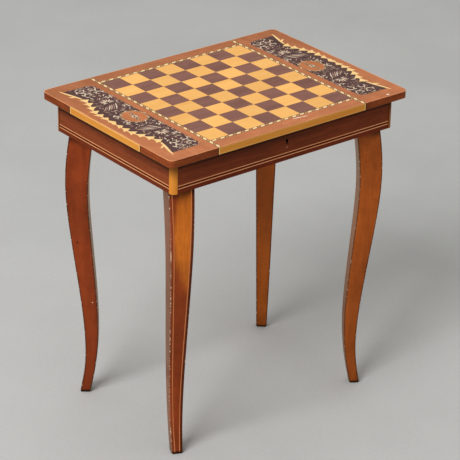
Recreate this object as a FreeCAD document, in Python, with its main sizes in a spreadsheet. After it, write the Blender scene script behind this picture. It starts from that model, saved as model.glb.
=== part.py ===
import FreeCAD, Part
import math
import os

import Sketcher

# A chess table: an inlaid lid hinged to a shallow box, which stands on four swept legs.
# The origin is on the floor under the middle of the lid, X runs along the lid's length to the
# right of someone at the keyhole, Y runs to the back and Z is up. Lengths are millimetres.

SQUARES_PER_SIDE = 8
LEAVES_PER_HALF = 12
KNUCKLES = 3
LEG_STEPS = 16
SCREW_SIDES = 12

# Every independent size of the table.
SIZES = {
    # chess board, its bands and the plain fields round it
    "square_side": 36,
    "band_width": 6.5,
    "end_field_width": 91,
    "side_field_width": 22.5,
    # layers and edges of the lid
    "veneer_thickness": 0.9,
    "core_thickness": 11,
    "backing_thickness": 0.6,
    "lid_corner_radius": 9,
    "edge_strip_thickness": 1.2,
    "end_edge_strip_length": 189,
    # marquetry at both ends of the lid
    "panel_gap": 11.5,
    "panel_margin": 26,
    "panel_outer_margin": 10,
    "panel_end_recess": 8,
    "panel_waist_recess": 16,
    "panel_corner_cut": 9,
    "panel_notch_depth": 2.8,
    "leaf_root_width": 1.4,
    "leaf_reach": 9.5,
    "medallion_radius": 20.2,
    "medallion_inset": 21,
    # box under the lid
    "lid_overhang": 16,
    "lid_gap": 0.3,
    "apron_height": 54,
    "apron_thickness": 9,
    "post_proud": 0.6,
    "post_block": 14,
    "post_neck": 3,
    "stringing_width": 1.3,
    "stringing_depth": 0.8,
    "stringing_rise": 7.3,
    "dark_line_width": 3.6,
    "floor_rise": 16,
    "floor_thickness": 4,
    "floor_groove_depth": 3,
    "lining_thickness": 1.5,
    "lining_margin": 0.4,
    # corner blocks and the bolts that hold the legs
    "block_side": 52,
    "block_bevel": 24,
    "stud_radius": 4,
    "stud_reach": 30,
    "stud_rise": 12,
    "nut_radius": 6.5,
    "nut_length": 13,
    "fit_clearance": 0.1,
    # legs
    "leg_length": 483,
    "leg_inset": 50,
    "leg_offset": 7,
    "leg_top_width": 42,
    "leg_foot_width": 18.5,
    "leg_top_depth": 39.5,
    "leg_foot_depth": 17,
    "leg_sway": 12,
    "leg_edge_radius": 1.2,
    "leg_line_inset": 4.6,
    "leg_line_width": 1.4,
    "leg_line_depth": 0.8,
    # hinges
    "hinge_length": 40,
    "hinge_inset": 77.5,
    "leaf_width": 7,
    "leaf_thickness": 1,
    "barrel_radius": 2.2,
    "barrel_clearance": 0.4,
    "pin_radius": 1.1,
    "pin_clearance": 0.05,
    "knuckle_gap": 0.3,
    # screws
    "screw_radius": 1,
    "screw_head_radius": 1.9,
    "screw_head_height": 0.9,
    "screw_length": 7,
    "screw_spacing": 24,
    # lock
    "keyhole_radius": 2.75,
    "keyhole_drop": 20.5,
    "keyhole_slot_width": 3,
    "keyhole_slot_length": 5.5,
    "lock_width": 32,
    "lock_height": 31,
    "lock_depth": 8,
    "lock_wall": 1.2,
    "lock_flange": 6,
    "selvedge_reach": 5,
    "bolt_length": 13,
    "bolt_height": 6,
    "bolt_drop": 6,
    "bolt_clearance": 0.3,
    "bolt_standoff": 0.6,
    "bolt_tip_length": 5.2,
    "bolt_tip_width": 2.4,
    "lug_offset": 8,
    "lug_thickness": 2.4,
    "lug_width": 4.8,
    "lug_length": 9,
    "lug_clearance": 0.5,
    "link_length": 34,
    "link_width": 8,
    "link_thickness": 1,
    "link_screw_inset": 2.9,
    # how far a cutter runs past the surface that it opens
    "overrun": 1,
}

# How far each leg has been screwed round past its diagonal, in degrees.
LEG_TURN_ANGLES = {"front_left": 22, "front_right": 13, "back_left": 6, "back_right": 6}

# The corners, each with its side along X and along Y and the turn that faces it outward.
CORNERS = {
    "front_left": (-1, -1, 180),
    "front_right": (1, -1, 270),
    "back_left": (-1, 1, 90),
    "back_right": (1, 1, 0),
}

# A leg's sway along its height: out at the knee, in at the ankle, out again at the foot.
LEG_HEIGHT_SHARES = (0, 0.1, 0.235, 0.43, 0.63, 0.81, 0.93, 1)
LEG_SWAY_SHARES = (0, -0.71, -0.99, -0.46, 0.37, 0.78, 0.44, 0.05)
# How much of its growth in depth a leg has at the same heights.
LEG_DEPTH_SHARES = (0, 0.06, 0.26, 0.52, 0.74, 0.91, 1, 1)

# Where a marquetry panel stops bulging and where its waist is, from its middle to its end.
PANEL_BULGE_SHARE = 0.26
PANEL_WAIST_SHARE = 0.7
# The outlines of a leaf and of a dark tooth: shares of its length and of its reach past its root.
LEAF_SHARES = ((0, 0), (0.6, 0.2), (1.14, 1), (0.92, 0.3))
NOTCH_SHARES = ((0, 0), (0.6, 1))

X_AXIS = FreeCAD.Vector(1, 0, 0)
Y_AXIS = FreeCAD.Vector(0, 1, 0)
Z_AXIS = FreeCAD.Vector(0, 0, 1)

doc = FreeCAD.newDocument("ChessTable")
sheet = doc.addObject("Spreadsheet::Sheet", "Sizes")
for row, (alias, number) in enumerate(SIZES.items(), start=1):
    sheet.set(f"A{row}", alias)
    sheet.set(f"B{row}", str(number))
    sheet.setAlias(f"B{row}", alias)
doc.recompute()

# Lengths and levels that follow from the sizes, as expressions.
board_side = f"({SQUARES_PER_SIDE} * Sizes.square_side)"
banded_side = f"({board_side} + 2 * Sizes.band_width)"
lid_length = f"({banded_side} + 2 * Sizes.end_field_width)"
lid_depth = f"({banded_side} + 2 * Sizes.side_field_width)"
lid_thickness = "(Sizes.backing_thickness + Sizes.core_thickness + Sizes.veneer_thickness)"
panel_length = f"({lid_depth} - 2 * Sizes.panel_margin)"
panel_bulge_width = "(Sizes.end_field_width - Sizes.panel_gap - Sizes.leaf_reach - Sizes.panel_outer_margin)"
box_length = f"({lid_length} - 2 * Sizes.lid_overhang)"
box_depth = f"({lid_depth} - 2 * Sizes.lid_overhang)"
post_radius = "(Sizes.apron_thickness + Sizes.post_proud)"
inner_length = f"({box_length} - 2 * Sizes.apron_thickness)"
inner_depth = f"({box_depth} - 2 * Sizes.apron_thickness)"
apron_top = "(Sizes.leg_length + Sizes.apron_height)"
lid_bottom = f"({apron_top} + Sizes.lid_gap)"
core_bottom = f"({lid_bottom} + Sizes.backing_thickness)"
veneer_bottom = f"({core_bottom} + Sizes.core_thickness)"
block_top = "(Sizes.leg_length + Sizes.floor_rise)"
floor_top = f"({block_top} + Sizes.floor_thickness)"
stud_x = f"({box_length} / 2 - Sizes.leg_inset * sqrt(0.5))"
stud_y = f"({box_depth} / 2 - Sizes.leg_inset * sqrt(0.5))"
hinge_y = f"({box_depth} / 2 + Sizes.barrel_radius)"
hinge_z = f"({apron_top} + Sizes.lid_gap / 2)"
screw_y = f"({box_depth} / 2 - Sizes.leaf_width / 2)"
lock_y = f"(-{inner_depth} / 2)"
bolt_y = f"({lock_y} + Sizes.lock_depth / 2)"
bolt_z = f"({apron_top} - Sizes.bolt_drop)"
keyhole_z = f"({apron_top} - Sizes.keyhole_drop)"

nodes = []


def size(expression):
    """The number that an expression of the sheet's sizes has now."""
    return float(sheet.evalExpression(expression))


def node(feature):
    """Marks a feature as a finished sub-part of the table."""
    nodes.append(feature)
    return feature


def place(feature, x="0", y="0", z="0"):
    """Binds a feature's place to expressions."""
    for axis, expression in zip("xyz", (x, y, z)):
        feature.setExpression(f"Placement.Base.{axis}", expression)
    return feature


def box(label, length, width, height, x, y, z):
    """A box from its lowest corner."""
    feature = doc.addObject("Part::Box", label)
    feature.setExpression("Length", length)
    feature.setExpression("Width", width)
    feature.setExpression("Height", height)
    return place(feature, x, y, z)


def centred_box(label, length, width, height, x, y, z):
    """A box from the middle of its bottom face."""
    return box(label, length, width, height, f"{x} - {length} / 2", f"{y} - {width} / 2", z)


def rod(label, radius, length, x, y, z, along=Z_AXIS):
    """A cylinder from the middle of its first end."""
    feature = doc.addObject("Part::Cylinder", label)
    feature.setExpression("Radius", radius)
    feature.setExpression("Height", length)
    feature.Placement.Rotation = FreeCAD.Rotation(Z_AXIS, along)
    return place(feature, x, y, z)


def six_sided_rod(label, radius, length, x, y, z, along=Z_AXIS):
    """A six-sided rod from the middle of its first end, as wide over its corners as a round one."""
    feature = doc.addObject("Part::Prism", label)
    feature.Polygon = 6
    feature.setExpression("Circumradius", radius)
    feature.setExpression("Height", length)
    feature.Placement.Rotation = FreeCAD.Rotation(Z_AXIS, along)
    return place(feature, x, y, z)


def fuse(label, *members):
    feature = doc.addObject("Part::MultiFuse", label)
    feature.Shapes = list(members)
    return feature


def group(label, members):
    """Separate solids that make one sub-part."""
    feature = doc.addObject("Part::Compound", label)
    feature.Links = list(members)
    return feature


def cut(label, base, *tools):
    feature = doc.addObject("Part::Cut", label)
    feature.Base = base
    feature.Tool = tools[0] if len(tools) == 1 else fuse(f"{label}_cutter", *tools)
    return feature


def common(label, base, tool):
    feature = doc.addObject("Part::Common", label)
    feature.Base = base
    feature.Tool = tool
    return feature


def padded_body(label, outline, height):
    """A body padded from a closed outline of straight edges, each corner a pair of expressions."""
    body = doc.addObject("PartDesign::Body", label)
    sketch = body.newObject("Sketcher::SketchObject", f"{label}_outline")
    plane = next(item for item in body.Origin.OriginFeatures if item.Role == "XY_Plane")
    sketch.AttachmentSupport = [(plane, "")]
    sketch.MapMode = "FlatFace"
    corners = [FreeCAD.Vector(size(x), size(y), 0) for x, y in outline]
    for start, end in zip(corners, corners[1:] + corners[:1]):
        sketch.addGeometry(Part.LineSegment(start, end))
    count = len(outline)
    for edge in range(count):
        sketch.addConstraint(Sketcher.Constraint("Coincident", edge, 2, (edge + 1) % count, 1))
    for edge, expressions in enumerate(outline):
        for kind, expression in zip(("DistanceX", "DistanceY"), expressions):
            limit = Sketcher.Constraint(kind, -1, 1, edge, 1, size(expression))
            sketch.setExpression(f"Constraints[{sketch.addConstraint(limit)}]", expression)
    pad = body.newObject("PartDesign::Pad", f"{label}_pad")
    pad.Profile = sketch
    pad.setExpression("Length", height)
    doc.recompute()
    return body


def screw(label, x, y, z, along):
    """A countersunk screw, its head flush at its place, with few sides and no thread on its shank."""
    sections = []
    for name, radius, drop in (
        ("rim", "Sizes.screw_head_radius", "0"),
        ("neck", "Sizes.screw_radius", "Sizes.screw_head_height"),
    ):
        outline = doc.addObject("Part::RegularPolygon", f"{label}_{name}")
        outline.Polygon = SCREW_SIDES
        outline.setExpression("Circumradius", radius)
        outline.Placement.Rotation = FreeCAD.Rotation(Z_AXIS, along)
        spot = [f"{start} + {int(way)} * {drop}" for start, way in zip((x, y, z), along)]
        sections.append(place(outline, *spot))
    head = doc.addObject("Part::Loft", f"{label}_head")
    head.Sections = sections
    head.Solid = True
    head.Ruled = True
    shank = six_sided_rod(f"{label}_shank", "Sizes.screw_radius", "Sizes.screw_length", x, y, z, along)
    return fuse(label, head, shank)


def fixed_shape(label, shape, x=0, y=0, z=0, turn=0):
    """A sub-part whose shape is worked out from the sheet's sizes."""
    feature = doc.addObject("Part::Feature", label)
    feature.Shape = shape
    feature.Placement = FreeCAD.Placement(FreeCAD.Vector(x, y, z), FreeCAD.Rotation(Z_AXIS, turn))
    return feature


def rounded_lid():
    """The lid's whole outline with its rounded corners, as thick as all its layers."""
    half_length = f"{lid_length} / 2"
    half_depth = f"{lid_depth} / 2"
    outline = [
        (f"-{half_length}", f"-{half_depth}"),
        (half_length, f"-{half_depth}"),
        (half_length, half_depth),
        (f"-{half_length}", half_depth),
    ]
    body = padded_body("lid_blank", outline, lid_thickness)
    base = body.Tip
    upright = [
        f"Edge{index}"
        for index, edge in enumerate(base.Shape.Edges, start=1)
        if edge.firstVertex().Z != edge.lastVertex().Z
    ]
    rounding = body.newObject("PartDesign::Fillet", "lid_corners")
    rounding.Base = (base, upright)
    rounding.setExpression("Radius", "Sizes.lid_corner_radius")
    doc.recompute()
    return place(body, z=lid_bottom)


def chess_squares():
    """The two sets of squares; the corner square at the front left is a light one."""
    sets = {"light_squares": [], "dark_squares": []}
    for column in range(SQUARES_PER_SIDE):
        for rank in range(SQUARES_PER_SIDE):
            shade = "dark_squares" if (column + rank) % 2 else "light_squares"
            x = f"{column} * Sizes.square_side - {board_side} / 2"
            y = f"{rank} * Sizes.square_side - {board_side} / 2"
            label = f"square_{column + 1}_{rank + 1}"
            side = "Sizes.square_side"
            sets[shade].append(box(label, side, side, "Sizes.veneer_thickness", x, y, veneer_bottom))
    for shade, squares in sets.items():
        node(group(shade, squares))


def bands_and_side_fields():
    """Mosaic bands round the board and the plain strips in front of and behind it."""
    long_x = f"{board_side} / 2"
    thick = "Sizes.veneer_thickness"
    ends = {"left_band": f"-{banded_side} / 2", "right_band": long_x}
    for label, x in ends.items():
        node(box(label, "Sizes.band_width", lid_depth, thick, x, f"-{lid_depth} / 2", veneer_bottom))
    sides = {
        "front_band": ("Sizes.band_width", f"-{banded_side} / 2"),
        "back_band": ("Sizes.band_width", f"{board_side} / 2"),
        "front_field": ("Sizes.side_field_width", f"-{lid_depth} / 2"),
        "back_field": ("Sizes.side_field_width", f"{banded_side} / 2"),
    }
    for label, (width, y) in sides.items():
        node(box(label, board_side, width, thick, f"-{board_side} / 2", y, veneer_bottom))


def panel_width(share):
    """Width of a marquetry panel at a share of the way from its middle to its end."""
    bulge = size(panel_bulge_width)
    waist = bulge - size("Sizes.panel_waist_recess")
    end = bulge - size("Sizes.panel_end_recess")
    if share <= PANEL_BULGE_SHARE:
        return bulge
    if share <= PANEL_WAIST_SHARE:
        run = (share - PANEL_BULGE_SHARE) / (PANEL_WAIST_SHARE - PANEL_BULGE_SHARE)
        return waist + (bulge - waist) * (1 + math.cos(math.pi * run)) / 2
    run = (share - PANEL_WAIST_SHARE) / (1 - PANEL_WAIST_SHARE)
    return waist + (end - waist) * run * run


def leafy_edge(root_offset, tip_offset, shares):
    """A toothed edge along a panel, mirrored about its middle, with one outline repeated."""
    half = size(panel_length) / 2
    upper = []
    for leaf in range(LEAVES_PER_HALF):
        for run, reach in shares:
            share = (leaf + run) / LEAVES_PER_HALF
            offset = root_offset + reach * (tip_offset - root_offset)
            upper.append(FreeCAD.Vector(panel_width(share) + offset, half * share, 0))
    upper.append(FreeCAD.Vector(panel_width(1) + root_offset, half, 0))
    lower = [FreeCAD.Vector(point.x, -point.y, 0) for point in reversed(upper[1:])]
    return lower + upper


def veneer(points):
    """A closed outline of straight edges cut out of the veneer."""
    face = Part.Face(Part.makePolygon(points + points[:1]))
    return face.extrude(Z_AXIS * size("Sizes.veneer_thickness"))


def marquetry(side, direction, blank):
    """One end of the lid: a toothed dark panel with a round medallion, a leaf border and its field."""
    half = size(panel_length) / 2
    dark_edge = leafy_edge(0, -size("Sizes.panel_notch_depth"), NOTCH_SHARES)
    leaf_edge = leafy_edge(size("Sizes.leaf_root_width"), size("Sizes.leaf_reach"), LEAF_SHARES)
    corner = size("Sizes.panel_corner_cut")
    inner_edge = [FreeCAD.Vector(corner, half, 0), FreeCAD.Vector(0, half - corner, 0)]
    inner_edge += [FreeCAD.Vector(point.x, -point.y, 0) for point in reversed(inner_edge)]
    middle = FreeCAD.Vector(size("Sizes.medallion_inset"), 0, 0)
    disc = Part.makeCylinder(size("Sizes.medallion_radius"), size("Sizes.veneer_thickness"), middle)
    x = direction * size(f"{banded_side} / 2 + Sizes.panel_gap")
    z = size(veneer_bottom)
    turn = 0 if direction > 0 else 180
    pieces = {
        f"{side}_panel": veneer(dark_edge + inner_edge).cut(disc),
        f"{side}_leaf_border": veneer(dark_edge + leaf_edge[::-1]),
        f"{side}_medallion": disc,
    }
    inlays = [node(fixed_shape(label, shape, x, 0, z, turn)) for label, shape in pieces.items()]
    left = f"-{lid_length} / 2" if direction < 0 else f"{banded_side} / 2"
    thick = "Sizes.veneer_thickness"
    sheet_box = box(f"{side}_end_sheet", "Sizes.end_field_width", lid_depth, thick,
                    left, f"-{lid_depth} / 2", veneer_bottom)
    rounded = common(f"{side}_end_blank", sheet_box, blank)
    node(cut(f"{side}_end_field", rounded, *inlays))


def edge_strips():
    """Light strips let into the four edges of the lid, under the top veneer."""
    height = "(Sizes.backing_thickness + Sizes.core_thickness)"
    thick = "Sizes.edge_strip_thickness"
    long_x = f"-{banded_side} / 2"
    short = "Sizes.end_edge_strip_length"
    short_y = f"-{short} / 2"
    far_x = f"{lid_length} / 2 - {thick}"
    far_y = f"{lid_depth} / 2 - {thick}"
    return [
        node(box("front_edge_strip", banded_side, thick, height, long_x, f"-{lid_depth} / 2", lid_bottom)),
        node(box("back_edge_strip", banded_side, thick, height, long_x, far_y, lid_bottom)),
        node(box("left_edge_strip", thick, short, height, f"-{lid_length} / 2", short_y, lid_bottom)),
        node(box("right_edge_strip", thick, short, height, far_x, short_y, lid_bottom)),
    ]


def hinge_leaf(label, x, owner, screws):
    """One leaf of a butt hinge: a plate let in flush and knuckles that take turns round the pin."""
    on_lid = owner == "lid"
    z = lid_bottom if on_lid else f"({apron_top} - Sizes.leaf_thickness)"
    length = "Sizes.hinge_length"
    first_x = f"({x} - {length} / 2)"
    knuckle = f"({length} / {KNUCKLES} - Sizes.knuckle_gap)"
    plate_width = "(Sizes.leaf_width - Sizes.barrel_clearance)"
    plate_y = f"{box_depth} / 2 - Sizes.leaf_width"
    tongue_y = f"{plate_y} + {plate_width}"
    tongue_width = "(Sizes.barrel_clearance + Sizes.barrel_radius)"
    thick = "Sizes.leaf_thickness"
    members = [box(f"{label}_plate", length, plate_width, thick, first_x, plate_y, z)]
    for turn in range(1 if on_lid else 0, KNUCKLES, 2):
        start = f"{first_x} + {turn} * {length} / {KNUCKLES} + Sizes.knuckle_gap / 2"
        members.append(box(f"{label}_tongue_{turn}", knuckle, tongue_width, thick, start, tongue_y, z))
        barrel_label = f"{label}_barrel_{turn}"
        members.append(rod(barrel_label, "Sizes.barrel_radius", knuckle, start, hinge_y, hinge_z, X_AXIS))
    bore_x = f"{first_x} - Sizes.overrun"
    bore_length = f"{length} + 2 * Sizes.overrun"
    bore_radius = "Sizes.pin_radius + Sizes.pin_clearance"
    bore = rod(f"{label}_bore", bore_radius, bore_length, bore_x, hinge_y, hinge_z, X_AXIS)
    return node(cut(label, fuse(f"{label}_blank", *members), bore, *screws))


def hinges():
    """Two butt hinges behind the box; returns what has to be cut for them in the lid and the box."""
    lid_cuts = []
    box_cuts = []
    screws = {"lid": [], "box": []}
    pins = []
    for side, direction in (("left", -1), ("right", 1)):
        x = f"({direction} * ({inner_length} / 2 - Sizes.hinge_inset))"
        for owner, level, along in (("lid", lid_bottom, Z_AXIS), ("box", apron_top, -Z_AXIS)):
            pair = [
                screw(f"{side}_{owner}_leaf_screw_{end}", f"{x} + {sign} * Sizes.screw_spacing / 2",
                      screw_y, level, along)
                for end, sign in (("a", -1), ("b", 1))
            ]
            screws[owner] += pair
            hinge_leaf(f"{side}_{owner}_leaf", x, owner, pair)
            length = "(Sizes.hinge_length + 2 * Sizes.fit_clearance)"
            width = "(Sizes.leaf_width + Sizes.fit_clearance + Sizes.barrel_radius)"
            y = f"{hinge_y} - {width}"
            z = lid_bottom if owner == "lid" else f"({apron_top} - Sizes.leaf_thickness)"
            seat = box(f"{side}_{owner}_leaf_seat", length, width, "Sizes.leaf_thickness",
                       f"{x} - {length} / 2", y, z)
            (lid_cuts if owner == "lid" else box_cuts).append(seat)
        groove_length = "(Sizes.hinge_length + 2 * Sizes.barrel_clearance)"
        groove_radius = "Sizes.barrel_radius + Sizes.barrel_clearance"
        groove = rod(f"{side}_barrel_groove", groove_radius, groove_length,
                     f"{x} - {groove_length} / 2", hinge_y, hinge_z, X_AXIS)
        lid_cuts.append(groove)
        box_cuts.append(groove)
        pins.append(rod(f"{side}_hinge_pin", "Sizes.pin_radius", "Sizes.hinge_length",
                        f"{x} - Sizes.hinge_length / 2", hinge_y, hinge_z, X_AXIS))
    node(group("lid_hinge_screws", screws["lid"]))
    node(group("box_hinge_screws", screws["box"]))
    node(group("hinge_pins", pins))
    return lid_cuts + screws["lid"], box_cuts + screws["box"]


def lid_link():
    """The plate under the lid with the lug that the bolt shoots through, and its screws."""
    thick = "Sizes.link_thickness"
    plate = centred_box("link_plate", "Sizes.link_length", "Sizes.link_width", thick,
                        "0", bolt_y, lid_bottom)
    lug_z = f"{apron_top} - Sizes.lug_length"
    lug_height = "(Sizes.lug_length + Sizes.lid_gap)"
    lug = box("link_lug", "Sizes.lug_thickness", "Sizes.lug_width", lug_height,
              "Sizes.lug_offset", f"{bolt_y} - Sizes.lug_width / 2", lug_z)
    opening = "(Sizes.bolt_tip_width + 2 * Sizes.bolt_clearance)"
    window = box("link_window", "Sizes.lug_thickness + 2 * Sizes.overrun", opening, opening,
                 "Sizes.lug_offset - Sizes.overrun", f"{bolt_y} - {opening} / 2",
                 f"{bolt_z} - {opening} / 2")
    screws = [
        screw(f"link_screw_{end}", f"{sign} * (Sizes.link_length / 2 - Sizes.link_screw_inset)",
              bolt_y, lid_bottom, Z_AXIS)
        for end, sign in (("a", -1), ("b", 1))
    ]
    node(cut("lock_link", fuse("link_blank", plate, lug), window, *screws))
    node(group("link_screws", screws))
    return [plate] + screws


def lid():
    """The lid: core and backing with their seats, the veneers on top and the fittings beneath."""
    blank = rounded_lid()
    chess_squares()
    bands_and_side_fields()
    for side, direction in (("left", -1), ("right", 1)):
        marquetry(side, direction, blank)
    hinge_cuts, box_cuts = hinges()
    cuts = edge_strips() + hinge_cuts + lid_link()
    layers = {
        "lid_backing": ("Sizes.backing_thickness", lid_bottom),
        "lid_core": ("Sizes.core_thickness", core_bottom),
    }
    cutter = fuse("lid_cutter", *cuts)
    for label, (thick, z) in layers.items():
        layer = centred_box(f"{label}_sheet", lid_length, lid_depth, thick, "0", "0", z)
        node(cut(label, common(f"{label}_blank", layer, blank), cutter))
    return box_cuts


def corner_posts():
    """Quarter-round posts, a little proud of the aprons, on blocks that stand inside them."""
    posts = []
    for corner, (side_x, side_y, turn) in CORNERS.items():
        x = f"({side_x} * {inner_length} / 2)"
        y = f"({side_y} * {inner_depth} / 2)"
        nosing = rod(f"{corner}_nosing", post_radius, "Sizes.apron_height", x, y, "Sizes.leg_length")
        nosing.Angle = 90
        nosing.Placement.Rotation = FreeCAD.Rotation(Z_AXIS, turn)
        side = "(Sizes.post_block + Sizes.post_neck)"
        shift = "((Sizes.post_neck - Sizes.post_block) / 2)"
        block = centred_box(f"{corner}_post_block", side, side, "Sizes.apron_height",
                            f"({x} + {side_x} * {shift})", f"({y} + {side_y} * {shift})", "Sizes.leg_length")
        posts.append(node(fuse(f"{corner}_post", nosing, block)))
    return posts


def stringing():
    """Two light lines with a dark one between them, let into the outside of every apron."""
    light = []
    dark = []
    deep = "Sizes.stringing_depth"
    low = "(Sizes.leg_length + Sizes.stringing_rise)"
    middle = f"({low} + Sizes.stringing_width)"
    lines = (
        (light, "low", "Sizes.stringing_width", low),
        (dark, "dark", "Sizes.dark_line_width", middle),
        (light, "high", "Sizes.stringing_width", f"({middle} + Sizes.dark_line_width)"),
    )
    for lines_of_shade, name, height, z in lines:
        for side, direction in (("front", -1), ("back", 1)):
            y = f"{direction} * ({box_depth} - {deep}) / 2"
            line = centred_box(f"{side}_{name}_line", inner_length, deep, height, "0", f"({y})", z)
            lines_of_shade.append(line)
        for side, direction in (("left", -1), ("right", 1)):
            x = f"{direction} * ({box_length} - {deep}) / 2"
            line = centred_box(f"{side}_{name}_line", deep, inner_depth, height, f"({x})", "0", z)
            lines_of_shade.append(line)
    return [node(group("light_stringing", light)), node(group("dark_stringing", dark))]


def keyhole(label, y, depth):
    """A keyhole through the front: a round hole with a slot beneath it."""
    start = f"({y} - Sizes.overrun)"
    length = f"({depth} + 2 * Sizes.overrun)"
    eye = rod(f"{label}_eye", "Sizes.keyhole_radius", length, "0", start, keyhole_z, Y_AXIS)
    slot = box(f"{label}_slot", "Sizes.keyhole_slot_width", length, "Sizes.keyhole_slot_length",
               "-Sizes.keyhole_slot_width / 2", start, f"{keyhole_z} - Sizes.keyhole_slot_length")
    return fuse(label, eye, slot)


def lock():
    """The lock on the inside of the front apron: case, bolt and screws."""
    wall = "Sizes.lock_wall"
    plate_length = "(Sizes.lock_width + 2 * Sizes.lock_flange)"
    bottom = f"({apron_top} - Sizes.lock_height)"
    case = centred_box("lock_box", "Sizes.lock_width", "Sizes.lock_depth", "Sizes.lock_height",
                       "0", bolt_y, bottom)
    flange = box("lock_flange_plate", plate_length, wall, "Sizes.lock_height",
                 f"-{plate_length} / 2", lock_y, bottom)
    selvedge = box("lock_selvedge", plate_length, f"Sizes.selvedge_reach + {wall}", wall,
                   f"-{plate_length} / 2", f"{lock_y} - Sizes.selvedge_reach", f"{apron_top} - {wall}")
    cavity_length = f"(Sizes.lock_width - 2 * {wall})"
    cavity_depth = f"(Sizes.lock_depth - 2 * {wall})"
    cavity_height = f"(Sizes.lock_height - 2 * {wall})"
    cavity = centred_box("lock_cavity", cavity_length, cavity_depth, cavity_height,
                         "0", bolt_y, f"{bottom} + {wall}")
    slot_length = "(Sizes.lug_thickness + 2 * Sizes.lug_clearance)"
    slot_width = "(Sizes.lug_width + 2 * Sizes.bolt_clearance)"
    slot = box("lock_slot", slot_length, slot_width, f"{wall} + 2 * Sizes.overrun",
               "Sizes.lug_offset - Sizes.lug_clearance", f"{bolt_y} - {slot_width} / 2",
               f"{apron_top} - {wall} - Sizes.overrun")
    screw_x = "((Sizes.lock_width + Sizes.lock_flange) / 2)"
    screws = [
        screw(f"lock_screw_{end}", f"{sign} * {screw_x}", f"{lock_y} + {wall}", keyhole_z, -Y_AXIS)
        for end, sign in (("a", -1), ("b", 1))
    ]
    hole = keyhole("lock_keyhole", lock_y, wall)
    node(cut("lock_case", fuse("lock_blank", case, flange, selvedge), cavity, slot, hole, *screws))
    node(group("lock_screws", screws))
    body_width = f"({cavity_depth} - 2 * Sizes.bolt_clearance)"
    body_end = "(Sizes.lug_offset - Sizes.bolt_standoff - Sizes.bolt_tip_length)"
    bolt_body = box("bolt_body", "Sizes.bolt_length", body_width, "Sizes.bolt_height",
                    f"{body_end} - Sizes.bolt_length", f"{bolt_y} - {body_width} / 2",
                    f"{bolt_z} - Sizes.bolt_height / 2")
    tip = box("bolt_tip", "Sizes.bolt_tip_length", "Sizes.bolt_tip_width", "Sizes.bolt_tip_width",
              body_end, f"{bolt_y} - Sizes.bolt_tip_width / 2", f"{bolt_z} - Sizes.bolt_tip_width / 2")
    node(fuse("lock_bolt", bolt_body, tip))
    return [selvedge] + screws


def storage_box(hinge_cuts):
    """The box: four aprons between posts, the floor in their grooves and its lining."""
    posts = corner_posts()
    lines = stringing()
    lock_cuts = lock()
    floor_length = f"({inner_length} + 2 * Sizes.floor_groove_depth)"
    floor_depth = f"({inner_depth} + 2 * Sizes.floor_groove_depth)"
    board = centred_box("floor_board", floor_length, floor_depth, "Sizes.floor_thickness",
                        "0", "0", block_top)
    node(cut("floor_panel", board, *posts))
    lining_length = f"({inner_length} - 2 * Sizes.lining_margin)"
    lining_depth = f"({inner_depth} - 2 * Sizes.lining_margin)"
    cloth = centred_box("lining_sheet", lining_length, lining_depth, "Sizes.lining_thickness",
                        "0", "0", floor_top)
    node(cut("floor_lining", cloth, *posts))
    thick = "Sizes.apron_thickness"
    tall = "Sizes.apron_height"
    cutters = posts + lines + [board]
    hole = keyhole("apron_keyhole", f"-{box_depth} / 2", thick)
    extra = {"front": [hole] + lock_cuts, "back": hinge_cuts}
    for side, direction in (("front", -1), ("back", 1)):
        y = f"({direction} * ({box_depth} - {thick}) / 2)"
        blank = centred_box(f"{side}_board", inner_length, thick, tall, "0", y, "Sizes.leg_length")
        node(cut(f"{side}_apron", blank, *cutters, *extra[side]))
    for side, direction in (("left", -1), ("right", 1)):
        x = f"({direction} * ({box_length} - {thick}) / 2)"
        blank = centred_box(f"{side}_board", thick, inner_depth, tall, x, "0", "Sizes.leg_length")
        node(cut(f"{side}_apron", blank, *cutters))
    return posts


def leg_curve(shares):
    """A smooth curve through shares given at the leg's set heights, with the height share as parameter."""
    points = [FreeCAD.Vector(share, 0, height) for height, share in zip(LEG_HEIGHT_SHARES, shares)]
    curve = Part.BSplineCurve()
    curve.interpolate(Points=points, Parameters=list(LEG_HEIGHT_SHARES))
    return curve


def leg_section(middle, depth, width):
    """Corners of a leg at one height: a rectangle with its edges eased."""
    round_off = size("Sizes.leg_edge_radius")
    half_x = depth / 2
    half_y = width / 2
    corners = [
        FreeCAD.Vector(half_x, half_y - round_off, 0),
        FreeCAD.Vector(half_x - round_off, half_y, 0),
    ]
    corners += [FreeCAD.Vector(-point.x, point.y, 0) for point in reversed(corners)]
    corners += [FreeCAD.Vector(point.x, -point.y, 0) for point in reversed(corners)]
    return [middle + corner for corner in corners]


def flat_face(corners):
    return Part.Face(Part.makePolygon(corners + corners[:1]))


def leg_blank():
    """A leg that sways and tapers, as flat facets between its sections."""
    sway_curve = leg_curve(LEG_SWAY_SHARES)
    depth_curve = leg_curve(LEG_DEPTH_SHARES)
    sections = []
    for step in range(LEG_STEPS + 1):
        share = step / LEG_STEPS
        outward = size("Sizes.leg_offset") + size("Sizes.leg_sway") * sway_curve.value(share).x
        middle = FreeCAD.Vector(outward, 0, share * size("Sizes.leg_length"))
        depth = taper(size("Sizes.leg_foot_depth"), size("Sizes.leg_top_depth"), depth_curve.value(share).x)
        width = taper(size("Sizes.leg_foot_width"), size("Sizes.leg_top_width"), share)
        sections.append(leg_section(middle, depth, width))
    faces = [flat_face(sections[0]), flat_face(sections[-1])]
    for below, above in zip(sections, sections[1:]):
        sides = zip(below, below[1:] + below[:1], above[1:] + above[:1], above)
        faces += [flat_face(list(corners)) for corners in sides]
    return Part.Solid(Part.Shell(faces))


def taper(foot, top, share):
    return foot + (top - foot) * share


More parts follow.
